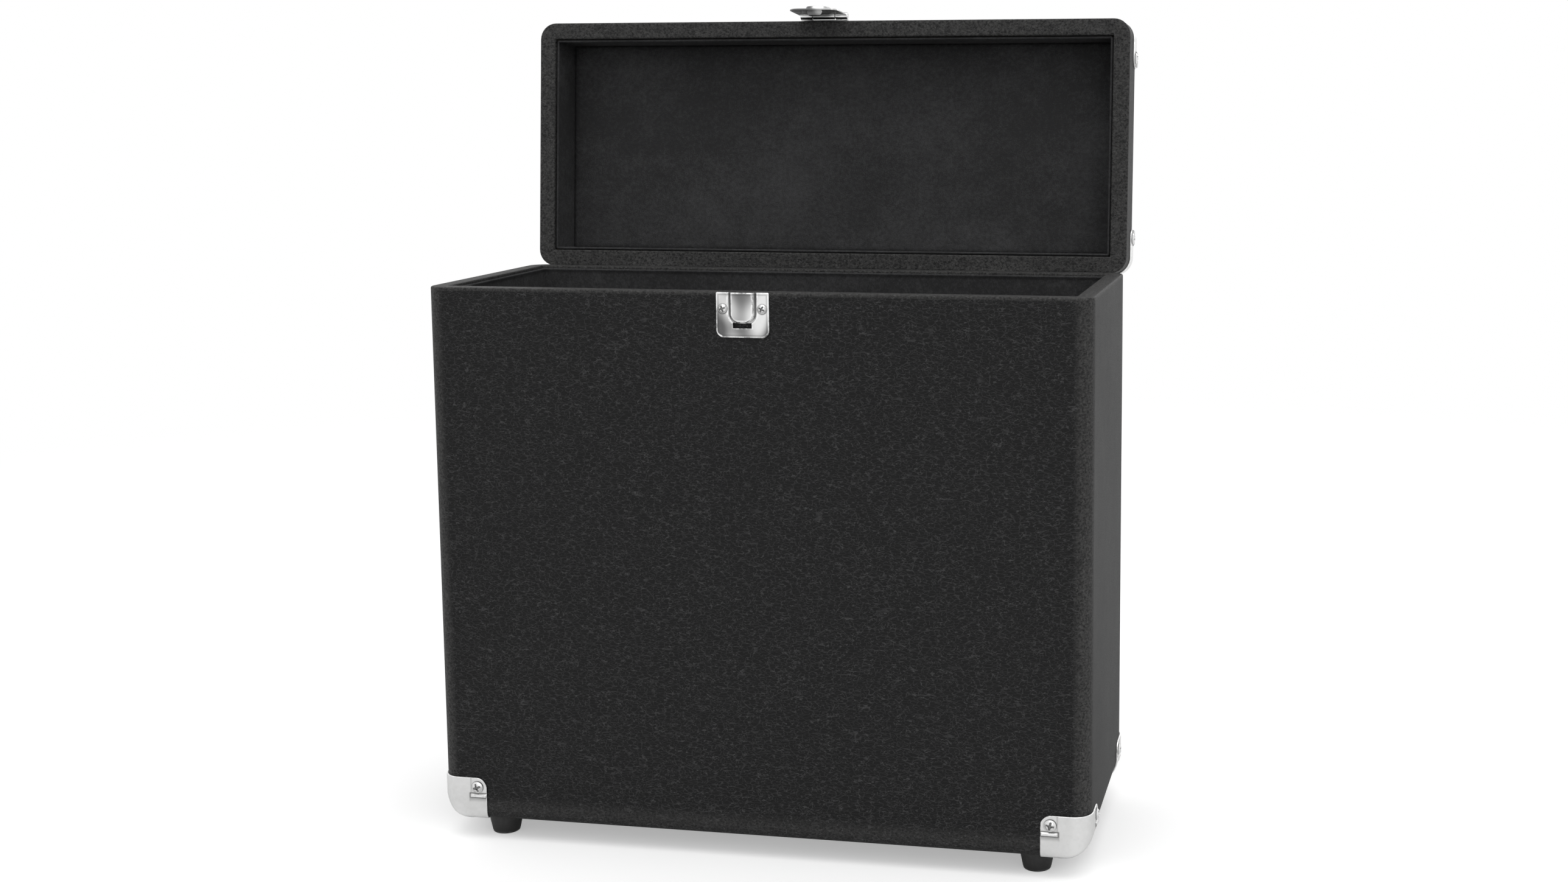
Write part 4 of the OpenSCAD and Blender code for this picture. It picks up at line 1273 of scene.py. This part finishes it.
class FitHandle(Fitting):
    """Builds the folding handle: brackets, pins, arms, grip and screws"""
    bl_idname = "case.fit_handle"
    bl_label = "Handle"

    def execute(self, context):
        (_, reach, _), (grip_half, half_w, half_t) = middle("handle_grip", HANDLE)
        ear_t, ear_low, base_round, screw_edge = 1.6, 0.4, 4, 3.8
        bend, eye_long, bar = 6.0, 6.0, 2.4
        screws = []
        for sign, side in ((-1, "left"), (1, "right")):
            (x, y, _), (base_half, base_d, _) = middle(f"{side}_handle_bracket", LID)
            ear_top = corners(f"{side}_handle_bracket", LID)[1][2]
            (_, _, pin_z), (ear_out, _, pin) = middle(f"{side}_handle_pin", LID)
            eye = ear_top - pin_z
            stand = shift(x, y, LID_TOP)
            base = stamped(base_half, -base_d, base_d, ear_t, base_round, base_round)
            parts = [moved(base, stand @ OUT_BACK)]
            for k in (-1, 1):
                ear = stamped(eye, ear_low, ear_top - LID_TOP, ear_t, 0.3, eye - 0.05, step=0.6)
                spot = shift(x + k * (ear_out - ear_t), y, LID_TOP)
                parts.append(moved(ear, spot @ turn(90 * k, "Z")))
                screws.append(stand @ shift(k * (base_half - screw_edge), 0, ear_t))
            piece(f"{side}_bracket", joined(parts), "lid", "nickel", f"{side}_handle_bracket")
            piece(f"{side}_bracket_pin", moved(rod(pin, 2 * ear_out), shift(x, y, pin_z)), "lid",
                  "bright_steel", f"{side}_handle_pin")
            start, inner, straight = 3.0, grip_half - 6, abs(x) - bend
            path = [(x, start + (reach - bend - start) * s, 0) for s in (0, 0.3, 0.6, 1)]
            path += [(x - sign * bend * (1 - cos(radians(a))),
                      reach - bend + bend * sin(radians(a)), 0) for a in range(10, 91, 10)]
            path += [(sign * (straight - (straight - inner) * s), reach, 0)
                     for s in (0.3, 0.6, 1)]
            radii = [bar + 0.2] + [bar] * (len(path) - 1)
            parts = [bent_bar(path, radii), moved(tube(eye, pin, eye_long, 0.7), shift(x, 0, 0))]
            piece(f"{side}_arm", joined(parts), "handle", "nickel", f"{side}_handle_arm")
        set_screws("bracket_fixing_screws", screws, size("head"), ear_t, "lid", "bracket_screws")
        rows, wear_and_highlight, steps, square, fingers = [], [], 48, 3.2, 4
        long, ends = 2 * grip_half, (0.0, 0.4, 1.2, 2.4)
        for s in (*ends, *np.linspace(5, long - 5, 27), *(long - end for end in ends[::-1])):
            d = min(s, long - s)
            cut = dome_edge(d, 2.2)
            waist = 0.8 * (0.5 - 0.5 * cos(fingers * 2 * pi * s / long)) * smooth((d - 6) / 10)
            row = []
            for k in range(steps):
                c, n = cos(2 * pi * k / steps), sin(2 * pi * k / steps)
                flat = (abs(c) ** square + abs(n) ** square) ** (-1 / square)
                y, z = (half_w - cut) * flat * c - waist * max(c, 0), (half_t - cut) * flat * n
                seam = 0.35 * ridge(z, 0, 0.5)
                row.append((s - grip_half, reach + y - (seam if y > 0 else -seam), z))
            rows.append(row)
            wear_and_highlight.append(0.5 if d < 3 else 0.15)
        piece("grip", skin(rows), "handle", "grip", "handle_grip", np.repeat(wear_and_highlight, steps), 60)
        return {"FINISHED"}


class FinishBoards(Fitting):
    """Gives the boards under the cover their wood"""
    bl_idname = "case.finish_boards"
    bl_label = "Boards"

    def execute(self, context):
        for name, node in frame["nodes"].items():
            if name.endswith("_board"):
                node.data.materials.clear()
                node.data.materials.append(material("board"))
        return {"FINISHED"}


class SetStage(Fitting):
    """Sets the floor, the room, the lights and the camera"""
    bl_idname = "case.set_stage"
    bl_label = "Stage"

    def execute(self, context):
        stage = context.scene.case_stage
        far, fade_start, fade_end = 6, 0.7, 1.6
        mesh = bpy.data.meshes.new("floor")
        mesh.from_pydata([(-far, -far, 0), (far, -far, 0), (far, far, 0), (-far, far, 0)], [],
                         [(0, 1, 2, 3)])
        floor = placed("floor", mesh)
        made = bpy.data.materials.new("floor")
        g = Graph(emptied(made))
        direct, mirrored, seen = g.rays()
        lit = g.add("BsdfDiffuse", {"Color": stage.floor})
        paler = g.weighed(direct, stage.floor_lift,
                          g.math("MULTIPLY", mirrored, 1 - stage.floor[0]))
        lift = g.add("Emission", {"Strength": paler})
        near = g.add("AddShader", {0: lit.outputs[0], 1: lift.outputs[0]})
        away = g.add("VectorMath", {0: g.add("TexCoord").outputs["Object"]}, operation="LENGTH")
        beyond = g.span(away.outputs["Value"], fade_start, fade_end)
        blank = g.add("Emission", {"Strength": seen})
        both = g.add("MixShader", {0: beyond, 1: near.outputs[0], 2: blank.outputs[0]})
        g.add("OutputMaterial", {"Surface": both.outputs[0]})
        mesh.materials.append(made)

        world = bpy.data.worlds.new("room")
        context.scene.world = world
        g = Graph(emptied(world))
        strength = g.weighed(g.rays()[2], 1.0 - stage.world, stage.world)
        room = g.add("Background", {"Color": (1, 1, 1, 1), "Strength": strength})
        g.add("OutputWorld", {"Surface": room.outputs[0]})

        target = Vector((0, 0, 0.2))
        for name, power, wide, place in (
                ("top_softbox", stage.top_light, 2.4, (0.2, -0.5, 2.6)),
                ("front_softbox", stage.front_light, 1.6, (1.4, -2.4, 1.4)),
                ("back_softbox", stage.back_light, 1.4, (0.9, 2.0, 1.3))):
            lamp = bpy.data.lights.new(name, "AREA")
            lamp.shape = "SQUARE"
            lamp.size = wide
            lamp.energy = power
            thing = placed(name, lamp)
            thing.location = place
            thing.rotation_euler = (target - Vector(place)).to_track_quat("-Z", "Y").to_euler()

        lens = bpy.data.cameras.new("camera")
        lens.sensor_width = 36
        lens.lens = stage.lens
        lens.shift_x, lens.shift_y = stage.shift
        lens.clip_start = 0.01
        camera = placed("camera", lens)
        yaw, pitch, roll = stage.yaw, stage.pitch, stage.roll
        ahead = Vector((-sin(yaw) * cos(pitch), cos(yaw) * cos(pitch), -sin(pitch)))
        right = Vector((cos(yaw), sin(yaw), 0))
        up = right.cross(ahead)
        right, up = right * cos(roll) + up * sin(roll), up * cos(roll) - right * sin(roll)
        facing = Matrix((right, up, -ahead)).transposed().to_4x4()
        camera.matrix_world = Matrix.Translation(stage.place) @ facing
        context.scene.camera = camera
        context.scene.view_settings.view_transform = "Standard"
        return {"FINISHED"}


OPERATORS = (CoverTubs, LineTubs, FitCaps, FitFeet, FitCatch, FitHasp, FitHinges, FitHandle,
             FinishBoards, SetStage)


class CasePanel(bpy.types.Panel):
    """Lists the case's pieces with its sizes, colours and stage"""
    bl_idname = "VIEW3D_PT_record_case"
    bl_label = "Record case"
    bl_space_type = "VIEW_3D"
    bl_region_type = "UI"
    bl_category = "Case"

    def draw(self, context):
        for operator in OPERATORS:
            self.layout.operator(operator.bl_idname)
        for group in (context.scene.case_sizes, context.scene.case_finish,
                      context.scene.case_stage):
            column = self.layout.column(align=True)
            for key in group.bl_rna.properties.keys():
                if key not in ("rna_type", "name"):
                    column.prop(group, key)


CLASSES = (CaseSizes, CaseFinish, CaseStage, *OPERATORS, CasePanel)


def register():
    """Makes the classes known and adds the case's settings to the scene."""
    for kind in CLASSES:
        bpy.utils.register_class(kind)
    bpy.types.Scene.case_sizes = PointerProperty(type=CaseSizes)
    bpy.types.Scene.case_finish = PointerProperty(type=CaseFinish)
    bpy.types.Scene.case_stage = PointerProperty(type=CaseStage)


def unregister():
    """Takes away what register adds."""
    del bpy.types.Scene.case_stage
    del bpy.types.Scene.case_finish
    del bpy.types.Scene.case_sizes
    for kind in reversed(CLASSES):
        bpy.utils.unregister_class(kind)


def main():
    """Builds the case and its stage."""
    register()
    for operator in OPERATORS:
        group, name = operator.bl_idname.split(".")
        getattr(getattr(bpy.ops, group), name)()


if __name__ == "__main__":
    main()
